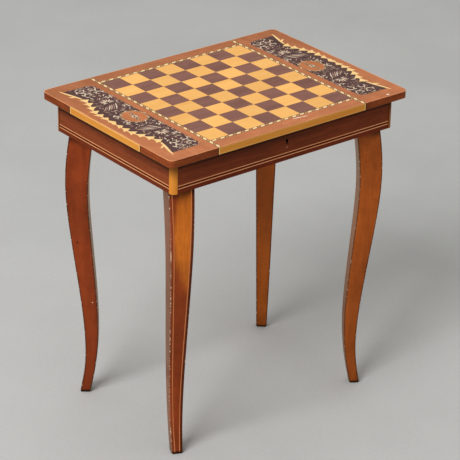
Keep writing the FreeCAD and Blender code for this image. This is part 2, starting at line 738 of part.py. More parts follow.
def slanted_slab(foot_span, top_span):
    """A slab along X between two straight edges, each span given from one edge to the other."""
    length = size("Sizes.leg_length")
    reach = size("Sizes.leg_top_depth + Sizes.leg_sway + Sizes.leg_offset")
    corners = [
        FreeCAD.Vector(-reach, foot_span[0], 0),
        FreeCAD.Vector(-reach, foot_span[1], 0),
        FreeCAD.Vector(-reach, top_span[1], length),
        FreeCAD.Vector(-reach, top_span[0], length),
    ]
    return flat_face(corners).extrude(X_AXIS * 2 * reach)


def leg_pieces():
    """A leg and the two lines let into its outer face."""
    foot_width = size("Sizes.leg_foot_width")
    top_width = size("Sizes.leg_top_width")
    blank = leg_blank()
    inset = size("Sizes.leg_line_inset")
    line = size("Sizes.leg_line_width")
    behind = blank.copy()
    behind.translate(X_AXIS * -size("Sizes.leg_line_depth"))
    lines = []
    for side in (-1, 1):
        spans = [
            (side * (width / 2 - inset), side * (width / 2 - inset - line))
            for width in (foot_width, top_width)
        ]
        lines += blank.common(slanted_slab(*spans)).cut(behind).Solids
    length = size("Sizes.leg_length")
    reach = size("Sizes.stud_reach + Sizes.fit_clearance")
    hole = Part.makeCylinder(size("Sizes.stud_radius + Sizes.fit_clearance"), reach,
                             FreeCAD.Vector(0, 0, length - reach))
    return blank.cut(lines).cut(hole), Part.makeCompound(lines)


def legs():
    """Four legs on the diagonals, each with its two lines."""
    leg, lines = leg_pieces()
    all_lines = []
    for corner, (side_x, side_y, turn) in CORNERS.items():
        x = side_x * size(stud_x)
        y = side_y * size(stud_y)
        facing = turn + 45 + LEG_TURN_ANGLES[corner]
        node(fixed_shape(f"{corner}_leg", leg, x, y, 0, facing))
        all_lines.append(fixed_shape(f"{corner}_leg_lines", lines, x, y, 0, facing))
    node(group("leg_stringing", all_lines))


def leg_fixings(posts):
    """Corner blocks, threaded inserts in them and the studs that hold the legs."""
    nuts = []
    studs = []
    side = "Sizes.block_side"
    short = "(Sizes.block_side - Sizes.block_bevel)"
    outline = [("0", "0"), (side, "0"), (side, short), (short, side), ("0", side)]
    for post, (corner, (side_x, side_y, turn)) in zip(posts, CORNERS.items()):
        x = f"({side_x} * {stud_x})"
        y = f"({side_y} * {stud_y})"
        barrel = six_sided_rod(f"{corner}_nut_barrel", "Sizes.nut_radius", "Sizes.nut_length",
                               x, y, "Sizes.leg_length")
        bore = rod(f"{corner}_nut_bore", "Sizes.stud_radius + Sizes.fit_clearance", "Sizes.floor_rise",
                   x, y, "Sizes.leg_length")
        nuts.append(cut(f"{corner}_nut", barrel, bore))
        studs.append(rod(f"{corner}_stud", "Sizes.stud_radius", "Sizes.stud_reach + Sizes.stud_rise",
                         x, y, "Sizes.leg_length - Sizes.stud_reach"))
        blank = padded_body(f"{corner}_block_blank", outline, "Sizes.floor_rise")
        blank.Placement.Rotation = FreeCAD.Rotation(Z_AXIS, turn + 180)
        place(blank, f"{side_x} * {inner_length} / 2", f"{side_y} * {inner_depth} / 2", "Sizes.leg_length")
        node(cut(f"{corner}_block", blank, post, barrel))
    node(group("leg_nuts", nuts))
    node(group("leg_studs", studs))


def check_document():
    """Stops if any feature failed or any sub-part is empty or broken."""
    for feature in doc.Objects:
        if {"Invalid", "Error"} & set(feature.State):
            raise RuntimeError(f"{feature.Label} failed: {feature.State}")
    for feature in nodes:
        if feature.Shape.isNull() or not feature.Shape.isValid() or not feature.Shape.Solids:
            raise RuntimeError(f"{feature.Label} has no sound solid")


posts_of_box = storage_box(lid())
leg_fixings(posts_of_box)
legs()
doc.recompute()
check_document()
os.makedirs("parts", exist_ok=True)
for feature in nodes:
    feature.Shape.exportStep(f"parts/{feature.Label}.step")
print(len(nodes), "sub-parts written")
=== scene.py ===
import random
from functools import partial
from math import asin, copysign, cos, hypot, pi, radians, sin, sqrt, tau

import bmesh
import bpy
import numpy as np
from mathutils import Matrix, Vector


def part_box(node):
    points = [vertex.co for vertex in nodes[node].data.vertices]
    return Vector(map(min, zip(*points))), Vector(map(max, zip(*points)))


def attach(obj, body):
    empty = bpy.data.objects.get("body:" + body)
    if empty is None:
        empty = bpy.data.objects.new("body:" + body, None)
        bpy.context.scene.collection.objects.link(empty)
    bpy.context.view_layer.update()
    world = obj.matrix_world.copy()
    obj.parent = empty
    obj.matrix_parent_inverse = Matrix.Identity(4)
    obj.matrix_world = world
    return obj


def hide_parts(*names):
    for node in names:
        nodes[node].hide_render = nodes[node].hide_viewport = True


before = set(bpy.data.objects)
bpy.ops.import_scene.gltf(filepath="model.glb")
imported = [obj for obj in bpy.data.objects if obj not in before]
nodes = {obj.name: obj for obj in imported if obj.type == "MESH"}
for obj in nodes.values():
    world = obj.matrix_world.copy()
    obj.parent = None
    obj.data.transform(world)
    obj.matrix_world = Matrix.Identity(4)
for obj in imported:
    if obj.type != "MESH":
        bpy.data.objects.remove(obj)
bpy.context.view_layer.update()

# Looks of the chess table. Lengths are metres in the part's own frame unless a comment says millimetres.
MM = 0.001
scene = bpy.context.scene
LEG_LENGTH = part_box("front_left_leg")[1].z
LID_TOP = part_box("left_panel")[1].z
LID_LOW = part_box("front_edge_strip")[0].z
STRIP_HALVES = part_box("front_edge_strip")[1].x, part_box("left_edge_strip")[1].y
LINES_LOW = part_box("light_stringing")[0].z
SIDES = "left", "right", "front", "back"


def linear(red, green, blue):
    """A screen colour, from 0 to 255, as linear light."""
    parts = [value / 255 for value in (red, green, blue)]
    return tuple(v / 12.92 if v <= 0.04045 else ((v + 0.055) / 1.055) ** 2.4 for v in parts)


class Shader:
    """Short calls that build the node tree of a material or a world."""

    def __init__(self, owner, surface="Principled BSDF"):
        owner.use_nodes = True
        self.tree = owner.node_tree
        self.surface = self.tree.nodes[surface]

    def feed(self, socket, value):
        if isinstance(value, bpy.types.NodeSocket):
            self.tree.links.new(value, socket)
        elif socket.type == "RGBA" and len(value) == 3:
            socket.default_value = (*value, 1)
        else:
            socket.default_value = value

    def set(self, **values):
        """Sets or links sockets of the surface; underscores stand for spaces."""
        for key, value in values.items():
            self.feed(self.surface.inputs[key.replace("_", " ")], value)

    def add(self, kind, inputs=None, **settings):
        made = self.tree.nodes.new("ShaderNode" + kind)
        for key, value in settings.items():
            setattr(made, key, value)
        for key, value in (inputs or {}).items():
            self.feed(made.inputs[key], value)
        return made

    def math(self, operation, *values):
        return self.add("Math", dict(enumerate(values)), operation=operation).outputs[0]

    def times(self, product, *values):
        for value in values:
            product = self.math("MULTIPLY", product, value)
        return product

    def vector(self, operation, *values):
        return self.add("VectorMath", dict(enumerate(values)), operation=operation).outputs[0]

    def split(self, vector):
        """The sockets X, Y and Z of a vector."""
        return self.add("SeparateXYZ", {"Vector": vector}).outputs

    def stretch(self, vector, scale, turn=0):
        inputs = {"Vector": vector, "Rotation": (0, 0, turn), "Scale": scale}
        return self.add("Mapping", inputs).outputs[0]

    def mix(self, factor, first, second, blend="MIX"):
        inputs = {0: factor, 6: first, 7: second}
        return self.add("Mix", inputs, data_type="RGBA", blend_type=blend).outputs[2]

    def tint(self, share, colour, factors):
        """A colour with a share of it multiplied by a factor for each channel."""
        return self.mix(share, colour, self.mix(1, colour, factors, "MULTIPLY"))

    def span(self, value, *ends, smooth=True):
        """A value between two ends, stretched to 0 and 1 or two more numbers, or by one of the SPANS."""
        inputs = dict(enumerate((value, *SPANS.get(ends[0], ends))))
        kind = "SMOOTHSTEP" if smooth else "LINEAR"
        return self.add("MapRange", inputs, interpolation_type=kind).outputs[0]

    def noise(self, vector, name):
        """One of the NOISES, stretched to the span of the same name if there is one."""
        inputs = dict(zip(("Scale", "Detail", "Roughness", "Distortion"), NOISES[name]), Vector=vector)
        share = self.add("TexNoise", inputs).outputs["Fac"]
        return self.span(share, name) if name in SPANS else share

    def coordinates(self):
        return self.add("TexCoord").outputs["Object"]

    def attribute(self, name):
        return self.add("Attribute", attribute_name=name).outputs["Fac"]

    def glossy(self):
        """1 for what a reflection shows, 0 for all else."""
        return self.add("LightPath").outputs["Is Glossy Ray"]

    def gain(self, colour, amount):
        """A colour with every channel multiplied by the same varying amount."""
        channels = dict.fromkeys(("Red", "Green", "Blue"), amount)
        return self.mix(1, colour, self.add("CombineColor", channels).outputs[0], "MULTIPLY")

    def bump(self, height, strength, distance):
        inputs = {"Height": height, "Strength": strength, "Distance": distance}
        return self.add("Bump", inputs).outputs[0]


GRAINS = {"X": (0.07, 1, 1), "Y": (1, 0.07, 1), "Z": (1, 1, 0.07), "XY": (0.07, 0.07, 1)}
SQUARE = 36 * MM
materials = {}
# scale, detail, roughness and distortion of each noise
NOISES = {
    "figure": (42, 4, 0.55, 0.7),
    "streaks": (430, 3, 0.6),
    "pores": (1500, 1),
    "smudges": (14, 3, 0.6),
    "honey clouds": (26, 2),
    "leg clouds": (20, 3, 0.6),
    "patches": (290, 3, 0.7),
    "field clouds": (24, 4, 0.65),
    "scratches": (800, 1),
    "specks": (420, 2),
    "knocks": (260, 3, 0.7),
    "tarnish": (160, 4, 0.65),
    "metal scratches": (2600, 2),
    "fibres": (1800, 4, 0.7),
    "felt wear": (16, 3, 0.6),
    "floor mottle": (3, 5, 0.6),
    "floor grain": (160, 3, 0.6),
}
# both ends of each span and what they are stretched to, which is 0 and 1 if left out
SPANS = {
    "pores": (0.58, 0.72),
    "leg clouds": (0.3, 0.7, 0.86, 1.14),
    "field clouds": (0.35, 0.75, 0.91, 1.09),
    "scratches": (0.73, 0.8, 0, 0.3),
    "specks": (0.7, 0.76, 0, 0.35),
    "knocks": (0.56, 0.64, 0, 0.6),
    "tarnish": (0.35, 0.7),
    "felt wear": (0.5, 0.85, 0, 0.35),
    # values other than noises
    "wood": (0.32, 0.68),
    "square": (0, 1, 0.93, 1.07),
    "glue": (0, 0.3 * MM / SQUARE, 0.2, 0),
    "felt": (0.35, 0.7),
    "floor": (0.3, 0.7),
    "bare patch": (0.6, 0.64),
    "bare edge": (0.7, 0.95, 0, 0.9),
    # painted shade along the legs' rounded edges, also darkening the outer face's margins
    "rim": (0, 0.7, 1, 0.42),
    # heights, and places from the lid's middle to its back
    # painted light: the legs made lighter towards the top
    "leg height": (30 * MM, 460 * MM, 0.93, 1.22),
    # painted contact shadow with dark end grain at the feet, on the legs and on their inlaid lines
    "foot": (2.5 * MM, 6.5 * MM, 0.07, 1),
    "line foot": (2.5 * MM, 6.5 * MM, 0.1, 1),
    # painted shadow under the apron at the top of the legs
    "leg top": (LEG_LENGTH - 18 * MM, LEG_LENGTH - 1 * MM, 1, 0.34),
    "field back": (0, 165 * MM, 1, 0.82),
    # painted light on the fields' side edges, which are made paler
    "lit veneer edge": (LID_TOP - 0.4 * MM, LID_TOP - 0.1 * MM, 1.6, 1),
    "lid arris": (LID_TOP - 2.2 * MM, LID_TOP - 0.8 * MM),
    # paler lower arris of the edge strips: partly rubbed wear, partly a painted highlight
    "strip low": (LID_LOW + 0.6 * MM, LID_LOW + 2 * MM, 0.2, 0),
    # painted shadow of the lid's overhang on the upper posts
    "post": (LID_TOP - 48 * MM, LID_TOP - 18 * MM, 1, 0.36),
    "under lines": (LINES_LOW - 1 * MM, LINES_LOW + 1 * MM, 1, 0),
}


def material(name, wearers=""):
    """The shader and the coordinates of a new material, which is put on nodes of the part."""
    materials[name] = bpy.data.materials.new(name)
    for wearer in wearers.split():
        slots = nodes[wearer].data.materials
        slots.clear()
        slots.append(materials[name])
    shader = Shader(materials[name])
    return shader, shader.coordinates()


def wood(name, wearers, pale, deep, grain, rough=0.34, gloss=1, coat=0.09, pores=0.3, streaks=0.4,
         squares=False, finish=None, polish=None):
    """Lacquered wood in two screen colours: broad figure, fine streaks and open pores along the grain.

    squares gives every chess square its own tone and stretch of grain, with a thin glue line round it.
    finish is a function that works stains, wear and painted light and shade into the colour.
    polish names an attribute of the mesh that raises the coat to a full one.
    """
    shader, place = material(name, wearers)
    pale, deep = linear(*pale), linear(*deep)
    dark = tuple(0.5 * value for value in deep)
    along = place
    if squares:
        scaled = shader.vector("MULTIPLY", place, (1 / SQUARE, 1 / SQUARE, 0))
        cell = shader.vector("FLOOR", scaled)
        own = shader.add("TexWhiteNoise", {"Vector": cell}, noise_dimensions="3D").outputs
        along = shader.vector("ADD", place, own["Color"])
    stretched = shader.stretch(along, GRAINS[grain])
    figure = shader.noise(stretched, "figure")
    fine = shader.noise(stretched, "streaks")
    open_pores = shader.noise(stretched, "pores")
    share = shader.math("ADD", shader.times(figure, 1 - streaks), shader.times(fine, streaks))
    colour = shader.mix(shader.span(share, "wood", smooth=False), deep, pale)
    colour = shader.mix(shader.times(open_pores, pores), colour, dark)
    if squares:
        colour = shader.gain(colour, shader.span(own["Value"], "square", smooth=False))
        within = shader.split(shader.vector("FRACTION", scaled))
        to_edges = []
        for axis in "XY":
            from_middle = shader.math("ABSOLUTE", shader.math("SUBTRACT", within[axis], 0.5))
            to_edges.append(shader.math("SUBTRACT", 0.5, from_middle))
        glue = shader.span(shader.math("MINIMUM", *to_edges), "glue")
        colour = shader.mix(glue, colour, dark)
    if finish:
        colour = finish(shader, place, colour)
    smudges = shader.noise(place, "smudges")
    roughness = shader.span(smudges, 0.3, 0.7, rough - 0.05, rough + 0.07)
    height = shader.math("SUBTRACT", shader.times(fine, 0.25), open_pores)
    if polish:
        coat = shader.span(shader.attribute(polish), 0, 1, coat, 1)
        shader.set(Coat_IOR=2)
    shader.set(Base_Color=colour, Roughness=roughness, Specular_IOR_Level=0.09 * gloss, Coat_Weight=coat,
               Coat_Roughness=0.14, Normal=shader.bump(height, strength=0.1, distance=0.2 * MM))


BARE_WOOD = linear(236, 206, 168)
# pale honey of rubbed arrises, partly a painted highlight
WORN_AND_LIT_HONEY = linear(255, 222, 146)
# grey of a painted lacquer sheen mixed with dust
DUST_AND_SHEEN_GREY = linear(140, 106, 88)
KNOT = linear(44, 20, 11)
# factors of a stain for each channel, and of the darker tint below the aprons' light lines
LEG_GOLD = (1.78, 2.5, 1.35)
LEG_HONEY = (2, 3.1, 1.35)
UNDER_LINES_TINT = (0.68, 0.52, 0.42)
# place, radius and colour of two small knots and a chip in the legs
LEG_MARKS = (
    (Vector((-213.1, 119.3, 289.5)) * MM, 2.2 * MM, KNOT),
    (Vector((-189.7, -156, 333.2)) * MM, 1.6 * MM, KNOT),
    (Vector((-193, 106.6, 176.3)) * MM, 1.4 * MM, BARE_WOOD),
)
HONEY_CLOUDING, DUST_AND_SHEEN, WORN_LIFT = 0.35, 0.35, 0.16
SCRATCH_TURNS = 0.6, -0.9
SCRATCH_STRETCH = (0.05, 1, 1)


def leg_finish(shader, place, colour):
    """Stain on the legs, golden on some and honey on the upper outer face, with a painted sheen, painted light
    towards the top and painted shade at edges, top and feet.
    """
    colour = shader.tint(shader.attribute("gold"), colour, LEG_GOLD)
    honey = shader.attribute("honey")
    cloud = shader.math("SUBTRACT", shader.noise(place, "honey clouds"), 0.5)
    honey = shader.math("ADD", honey, shader.times(cloud, HONEY_CLOUDING, honey))
    colour = shader.tint(shader.span(honey, 0, 1), colour, LEG_HONEY)
    # a painted grey sheen of the lacquer, mixed with dust, on the polished faces
    dust_and_sheen = shader.times(shader.attribute("polished"), DUST_AND_SHEEN)
    colour = shader.mix(dust_and_sheen, colour, DUST_AND_SHEEN_GREY)
    height = shader.split(place)["Z"]
    # painted light towards the top, times random clouds and the listed tones along the height
    tones = shader.times(shader.noise(place, "leg clouds"), shader.span(height, "leg height"),
                         shader.attribute("tone"))
    # painted shade: darker edges, a painted contact shadow with dark end grain at the feet, a painted shadow at
    # the top
    painted_shade = shader.times(shader.span(shader.attribute("rim"), "rim"),
                         shader.span(height, "foot"), shader.span(height, "leg top"))
    colour = shader.gain(colour, shader.times(painted_shade, tones))
    for spot, radius, mark in LEG_MARKS:
        away = shader.add("VectorMath", {0: place, 1: spot}, operation="DISTANCE").outputs["Value"]
        colour = shader.mix(shader.span(away, 0.4 * radius, radius, 0.85, 0), colour, mark)
    worn = shader.times(shader.attribute("worn"), WORN_LIFT)
    patches = shader.math("ADD", shader.noise(place, "patches"), worn)
    bare = shader.times(shader.span(patches, "bare patch"),
                        shader.span(shader.attribute("edge"), "bare edge"))
    return shader.mix(bare, colour, BARE_WOOD)


def field_finish(shader, place, colour):
    """Wear on the plain fields, cloudy patches and fine scratches; a darker back; side edges made paler with
    painted light.
    """
    parts = shader.split(place)
    tones = shader.times(shader.noise(place, "field clouds"), shader.span(parts["Y"], "field back"),
                         shader.span(parts["Z"], "lit veneer edge"))
    return scratch_finish(shader, place, shader.gain(colour, tones))


def scratch_finish(shader, place, colour):
    """Fine pale scratches in two directions and small worn specks."""
    for turn in SCRATCH_TURNS:
        turned = shader.stretch(place, SCRATCH_STRETCH, turn)
        colour = shader.mix(shader.noise(turned, "scratches"), colour, BARE_WOOD)
    return shader.mix(shader.noise(place, "specks"), colour, BARE_WOOD)


def edge_finish(shader, place, colour):
    """Knocks along the upper arris of the lid's edge."""
    upper = shader.span(shader.split(place)["Z"], "lid arris")
    knocks = shader.times(shader.noise(place, "knocks"), upper)
    return shader.mix(knocks, colour, BARE_WOOD)


def height_shade(shader, place, colour, name):
    """Painted shade over one of the SPANS of height."""
    return shader.gain(colour, shader.span(shader.split(place)["Z"], name))


def apron_shadow_and_tint(shader, place, colour, shadow):
    """Painted shadow on an apron under the lid, down to the height shadow, and a darker tint below the light
    lines.
    """
    height = shader.split(place)["Z"]
    shade = shader.times(shader.span(height, shadow - 10 * MM, shadow, 1, 0.78),
                         shader.span(height, shadow, shadow + 3.8 * MM, 1, 0.38))
    under = shader.span(height, "under lines")
    return shader.tint(under, shader.gain(colour, shade), UNDER_LINES_TINT)


def strip_finish(shader, place, colour, axis, half, wear):
    """An edge strip paler along its arrises and at its ends, partly rubbed wear and partly a painted highlight.
    wear is for the upper arris.
    """
    parts = shader.split(place)
    rubbed = shader.math("ADD", shader.span(parts["Z"], "strip low"),
                         shader.span(parts["Z"], LID_TOP - 3.4 * MM, LID_TOP - 1.6 * MM, 0, wear))
    from_middle = shader.math("ABSOLUTE", parts[axis])
    ends = shader.span(from_middle, half - 3.6 * MM, half - 1.6 * MM, 0, 0.6)
    return shader.mix(shader.math("MAXIMUM", rubbed, ends), colour, WORN_AND_LIT_HONEY)


def metal(name, wearers, colour, tarnish, rough):
    """Worn metal: tarnish in cloudy patches and fine scratches."""
    shader, place = material(name, wearers)
    clouds = shader.noise(place, "tarnish")
    scratches = shader.noise(shader.stretch(place, SCRATCH_STRETCH), "metal scratches")
    roughness = shader.math("ADD", shader.span(clouds, 0, 1, rough, rough + 0.2),
                            shader.times(scratches, 0.12))
    shader.set(Base_Color=shader.mix(clouds, linear(*colour), linear(*tarnish)), Metallic=1,
               Roughness=roughness, Normal=shader.bump(scratches, strength=0.08, distance=0.1 * MM))


def felt(name, wearers, colour, pale):
    """Pressed felt: matted fibres, a soft nap and faint wear."""
    shader, place = material(name, wearers)
    fibres = shader.noise(place, "fibres")
    base = shader.mix(shader.span(fibres, "felt"), linear(*colour), linear(*pale))
    base = shader.mix(shader.noise(place, "felt wear"), base, linear(*pale))
    shader.set(Base_Color=base, Roughness=0.95, Normal=shader.bump(fibres, strength=0.5, distance=0.6 * MM),
               Sheen_Weight=0.35, Sheen_Roughness=0.6)


FIELD = (202, 128, 87), (182, 109, 71)
HONEY = (226, 154, 64), (208, 132, 48)
INLAYS = {
    "cream": ((238, 218, 192), (216, 194, 168)),
    "beige": ((210, 174, 150), (186, 150, 128)),
    "grey": ((168, 138, 126), (140, 114, 104)),
    "olive": ((160, 138, 86), (128, 108, 64)),
    "flame": ((255, 220, 156), (246, 200, 130)),
    "band_cream": ((254, 234, 184), (244, 216, 160)),
    "band_brown": ((160, 110, 74), (130, 86, 56)),
    "band_olive": ((194, 156, 112), (168, 132, 90)),
}
for name, colours in INLAYS.items():
    wood(f"{name}_inlay", "", *colours, "Y", rough=0.42, pores=0.1)
wood("apron_wood_x", "front_apron back_apron", (150, 66, 31), (92, 38, 18), "X", rough=0.33, coat=0.2,
     finish=partial(apron_shadow_and_tint, shadow=522.2 * MM))
wood("apron_wood_y", "left_apron right_apron", (152, 73, 37), (98, 42, 21), "Y", rough=0.33, coat=0.2,
     finish=partial(apron_shadow_and_tint, shadow=519.2 * MM))
wood("lid_edge_wood", "lid_core", (158, 77, 36), (84, 32, 12), "XY", pores=0.45, streaks=0.5,
     finish=edge_finish)
wood("field_veneer_x", "front_field back_field", *FIELD, "X", rough=0.4, finish=field_finish)
wood("field_veneer_y", "left_end_field right_end_field", *FIELD, "Y", rough=0.4, finish=field_finish)
wood("light_square_veneer", "light_squares", (253, 195, 115), (243, 179, 99), "X", rough=0.4, pores=0.12,
     squares=True, finish=scratch_finish)
wood("dark_square_veneer", "dark_squares", (147, 102, 91), (122, 84, 75), "X", rough=0.4, squares=True,
     finish=scratch_finish)
wood("panel_veneer", "left_panel right_panel", (103, 75, 72), (75, 54, 55), "Y", rough=0.42)
wood("leaf_veneer", "left_leaf_border right_leaf_border", (206, 140, 88), (180, 114, 68), "Y", rough=0.4,
     pores=0.15)
wood("medallion_veneer", "left_medallion right_medallion", (202, 126, 80), (182, 108, 66), "Y", rough=0.4)
wood("honey_wood_x", "front_edge_strip back_edge_strip", *HONEY, "X", pores=0.15,
     finish=partial(strip_finish, axis="X", half=STRIP_HALVES[0], wear=0.2))
wood("honey_wood_y", "left_edge_strip right_edge_strip", *HONEY, "Y", pores=0.15,
     finish=partial(strip_finish, axis="Y", half=STRIP_HALVES[1], wear=0.5))
# painted shadow of the lid's overhang on the upper posts
post_shade = partial(height_shade, name="post")
wood("honey_wood_z", "front_left_post", (224, 144, 56), (204, 124, 42), "Z", pores=0.15, finish=post_shade)
# painted shade: the other three posts get a darker copy of the front left post's honey wood
wood("shaded_post_wood", "front_right_post back_left_post back_right_post", (170, 98, 46), (146, 78, 34), "Z",
     pores=0.15, finish=post_shade)
wood("leg_wood", "", (146, 62, 26), (113, 45, 18), "Z", rough=0.3, coat=0.1, streaks=0.3, finish=leg_finish,
     polish="polished")
wood("light_line_wood", "light_stringing", (250, 178, 124), (226, 148, 96), "XY", pores=0.15)
wood("leg_line_wood", "", (216, 136, 84), (182, 106, 60), "Z", pores=0.15,
     finish=partial(height_shade, name="line foot"))
wood("joint_line_wood", "", (66, 30, 15), (48, 22, 12), "XY")
wood("dark_line_wood", "dark_stringing", (104, 38, 14), (80, 28, 9), "XY")
wood("corner_block_wood", "front_left_block front_right_block back_left_block back_right_block",
     (206, 168, 116), (180, 138, 88), "X", rough=0.6, gloss=0.3)
wood("plywood_face", "floor_panel", (188, 140, 92), (160, 112, 68), "X", rough=0.55, gloss=0.3)
wood("backing_veneer", "lid_backing", (150, 92, 56), (118, 66, 38), "X", rough=0.45, gloss=0.6)
wood("arris_highlight_wood", "", (240, 176, 124), (222, 152, 102), "XY", rough=0.4, pores=0.15)
wood("bare_scuff", "", (255, 240, 228), (246, 222, 204), "X", rough=0.6, gloss=0.3)
wood("pin_mark_wood", "", (236, 180, 150), (214, 152, 120), "X", rough=0.6, gloss=0.3)
wood("painted_hole_shade", "", (30, 16, 12), (18, 10, 8), "X", rough=0.6, gloss=0.3)
metal("worn_brass", "left_box_leaf right_box_leaf left_lid_leaf right_lid_leaf lock_case lock_link lock_bolt"
      " lock_screws link_screws box_hinge_screws lid_hinge_screws", (206, 168, 96), (140, 104, 56), rough=0.28)
metal("plain_steel", "hinge_pins leg_nuts leg_studs", (178, 178, 180), (120, 118, 116), rough=0.32)
felt("green_felt", "", (36, 78, 50), (70, 116, 82))


def placed(name, data):
    """A new object in the scene."""
    made = bpy.data.objects.new(name, data)
    scene.collection.objects.link(made)
    return made


def mesh_object(name, bm, looks, body, smooth=None):
    """A piece from a bmesh, with its materials, riding on a body. smooth is the sharpest rounded angle."""
    mesh = bpy.data.meshes.new(name)
    bmesh.ops.recalc_face_normals(bm, faces=bm.faces[:])
    bm.to_mesh(mesh)
    bm.free()
    for look in looks:
        mesh.materials.append(materials[look])
    if smooth:
        mesh.shade_smooth()
        mesh.set_sharp_from_angle(angle=radians(smooth))
    piece = placed(name, mesh)
    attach(piece, body)
    return piece


def skin(bm, rings, look=0, closed=False):
    """Faces between rings of points, and one over each end unless the rings themselves run round."""
    pairs = zip(rings, rings[1:] + rings[:1] * closed)
    faces = [(a[i - 1], a[i], b[i], b[i - 1]) for a, b in pairs for i in range(len(a))]
    if not closed:
        faces += [rings[0][::-1], rings[-1]]
    for corners in faces:
        bm.faces.new(corners).material_index = look


def prism(bm, outline, low, high, look=0):
    """A closed prism over a flat outline of (x, y) points."""
    rings = [[bm.verts.new((x, y, z)) for x, y in outline] for z in (low, high)]
    skin(bm, rings, look)


def ribbon(bm, path, widths, low, high, look=0):
    """A closed flat strip along a path of (x, y) points, as wide at each point as it says."""
    rings = []
    for index, (x, y) in enumerate(path):
        before = path[max(index - 1, 0)]
        after = path[min(index + 1, len(path) - 1)]
        tangent = Vector((after[0] - before[0], after[1] - before[1])).normalized()
        side = Vector((-tangent.y, tangent.x)) * (widths[index] / 2)
        corners = ((1, high), (-1, high), (-1, low), (1, low))
        rings.append([bm.verts.new((x + way * side.x, y + way * side.y, z)) for way, z in corners])
    skin(bm, rings, look)


# Legs: the middle line and tapers of the solids in more steps, with eased edges and inlaid lines.
LEG_HEIGHT_SHARES = (0, 0.1, 0.235, 0.43, 0.63, 0.81, 0.93, 1)
LEG_SWAY_SHARES = (0, -0.71, -0.99, -0.46, 0.37, 0.78, 0.44, 0.05)
LEG_DEPTH_SHARES = (0, 0.06, 0.26, 0.52, 0.74, 0.91, 1, 1)
LEG_SWAY = 12 * MM
LEG_OFFSET = 7 * MM
LEG_DEPTHS = 17 * MM, 39.5 * MM
LEG_WIDTHS = 18.5 * MM, 42 * MM
LEG_STEPS = 72
LEG_EDGE = 1.5 * MM
EDGE_STEPS = 4
FACE_SHARES = (0.25, 0.5, 0.75)
OUTER_CORNER = 3
RIM_WIDTH = 0.8 * MM
LINE_INSET = 4.6 * MM
LINE_WIDTH = 1.4 * MM
LINE_PROUD = 0.05 * MM
LINE_DEPTH = 0.3 * MM
STUD = Vector((190.145, 121.645)) * MM
# side along X and Y, facing in degrees, how golden the stain is and how light it is at shares of the height
LEGS = {
    "front_left": (-1, -1, 247, 0, (
        (0, 0.8), (0.05, 1), (0.125, 1.42), (0.24, 1.22), (0.36, 1.06), (0.47, 0.9), (0.585, 0.78),
        (0.65, 0.86), (0.74, 1), (0.82, 1.12), (0.9, 1.06), (0.97, 0.78))),
    "front_right": (1, -1, 328, 0.75, (
        (0.03, 0.84), (0.09, 1), (0.2, 0.9), (0.31, 0.86), (0.43, 0.92), (0.55, 0.84), (0.66, 1.07),
        (0.78, 1.04), (0.9, 0.8))),
    "back_left": (-1, 1, 141, 0, (
        (0.046, 0.83), (0.16, 1.22), (0.28, 1.07), (0.39, 1.2), (0.51, 0.97), (0.62, 1), (0.74, 0.75),
        (0.85, 1))),
    "back_right": (1, 1, 51, 1, (
        (0.042, 0.81), (0.1, 1), (0.215, 0.94), (0.33, 1), (0.445, 1), (0.56, 0.9))),
}
FOOT_EASE = 2 * MM
FOOT_RISES = (0, 0.3 * MM, 0.7 * MM, 1.3 * MM, 2 * MM)
# worn stretch of the front left leg's lit edge, and the rest of that edge below it
WORN_PATCH = 0.752, 0.79
WORN_BELOW = 0.3
# share of the painted edge shade that is left on the front left leg's lit edge
LIT_RIM = 0.25
# these legs shine on their inner face, and the front left one on one side, with a fuller coat and a painted
# grey sheen mixed with dust
POLISHED_INSIDE = "front_right", "back_left"
# how much a point lies on an edge: round it, at its arc's ends and at the outer face's rim
ROUND_EDGE, ARC_END, FACE_RIM = 1, 0.7, 0.45
# how far inside its edge a face's own look sets in and is full
FACE_BLEND = 1.2 * LEG_EDGE, 0.1 * LEG_EDGE
# the honey stain: shares of height where it sets in, its lean, and where it starts across the half width
HONEY_RISE = 0.61, 0.77
HONEY_LEAN = 0.08
HONEY_STARTS = -0.75, -0.25
HONEY_TOP = 0.84, 1
HONEY_FADE = -0.3, 0.35


def spline(knots, values):
    """A natural cubic curve through the values, as a function of the share."""
    x, y = np.array(knots, float), np.array(values, float)
    h = np.diff(x)
    slope = np.diff(y) / h
    system = np.eye(len(x))
    right = np.zeros(len(x))
    for i in range(1, len(h)):
        system[i, i - 1:i + 2] = h[i - 1], 2 * (h[i - 1] + h[i]), h[i]
        right[i] = 6 * (slope[i] - slope[i - 1])
    bend = np.linalg.solve(system, right)

    def at(share):
        i = min(max(int(np.searchsorted(x, share)) - 1, 0), len(h) - 1)
        t = share - x[i]
        rise = slope[i] - h[i] * (2 * bend[i] + bend[i + 1]) / 6
        return y[i] + t * (rise + t * (bend[i] / 2 + t * (bend[i + 1] - bend[i]) / (6 * h[i])))

    return at


leg_sway = spline(LEG_HEIGHT_SHARES, LEG_SWAY_SHARES)
leg_depth = spline(LEG_HEIGHT_SHARES, LEG_DEPTH_SHARES)


def between(pair, share):
    return pair[0] + (pair[1] - pair[0]) * share


def smooth_share(value, low, high):
    """0 below low, 1 above high and a smooth rise between them."""
    share = min(max((value - low) / (high - low), 0), 1)
    return share * share * (3 - 2 * share)


def leg_frame(share):
    """Outward place of a leg's middle, its half depth and its half width at a share of its height."""
    outward = LEG_OFFSET + LEG_SWAY * leg_sway(share)
    below = max(FOOT_EASE - share * LEG_LENGTH, 0)
    ease = FOOT_EASE - sqrt(FOOT_EASE ** 2 - below ** 2)
    return outward, between(LEG_DEPTHS, leg_depth(share)) / 2 - ease, between(LEG_WIDTHS, share) / 2 - ease


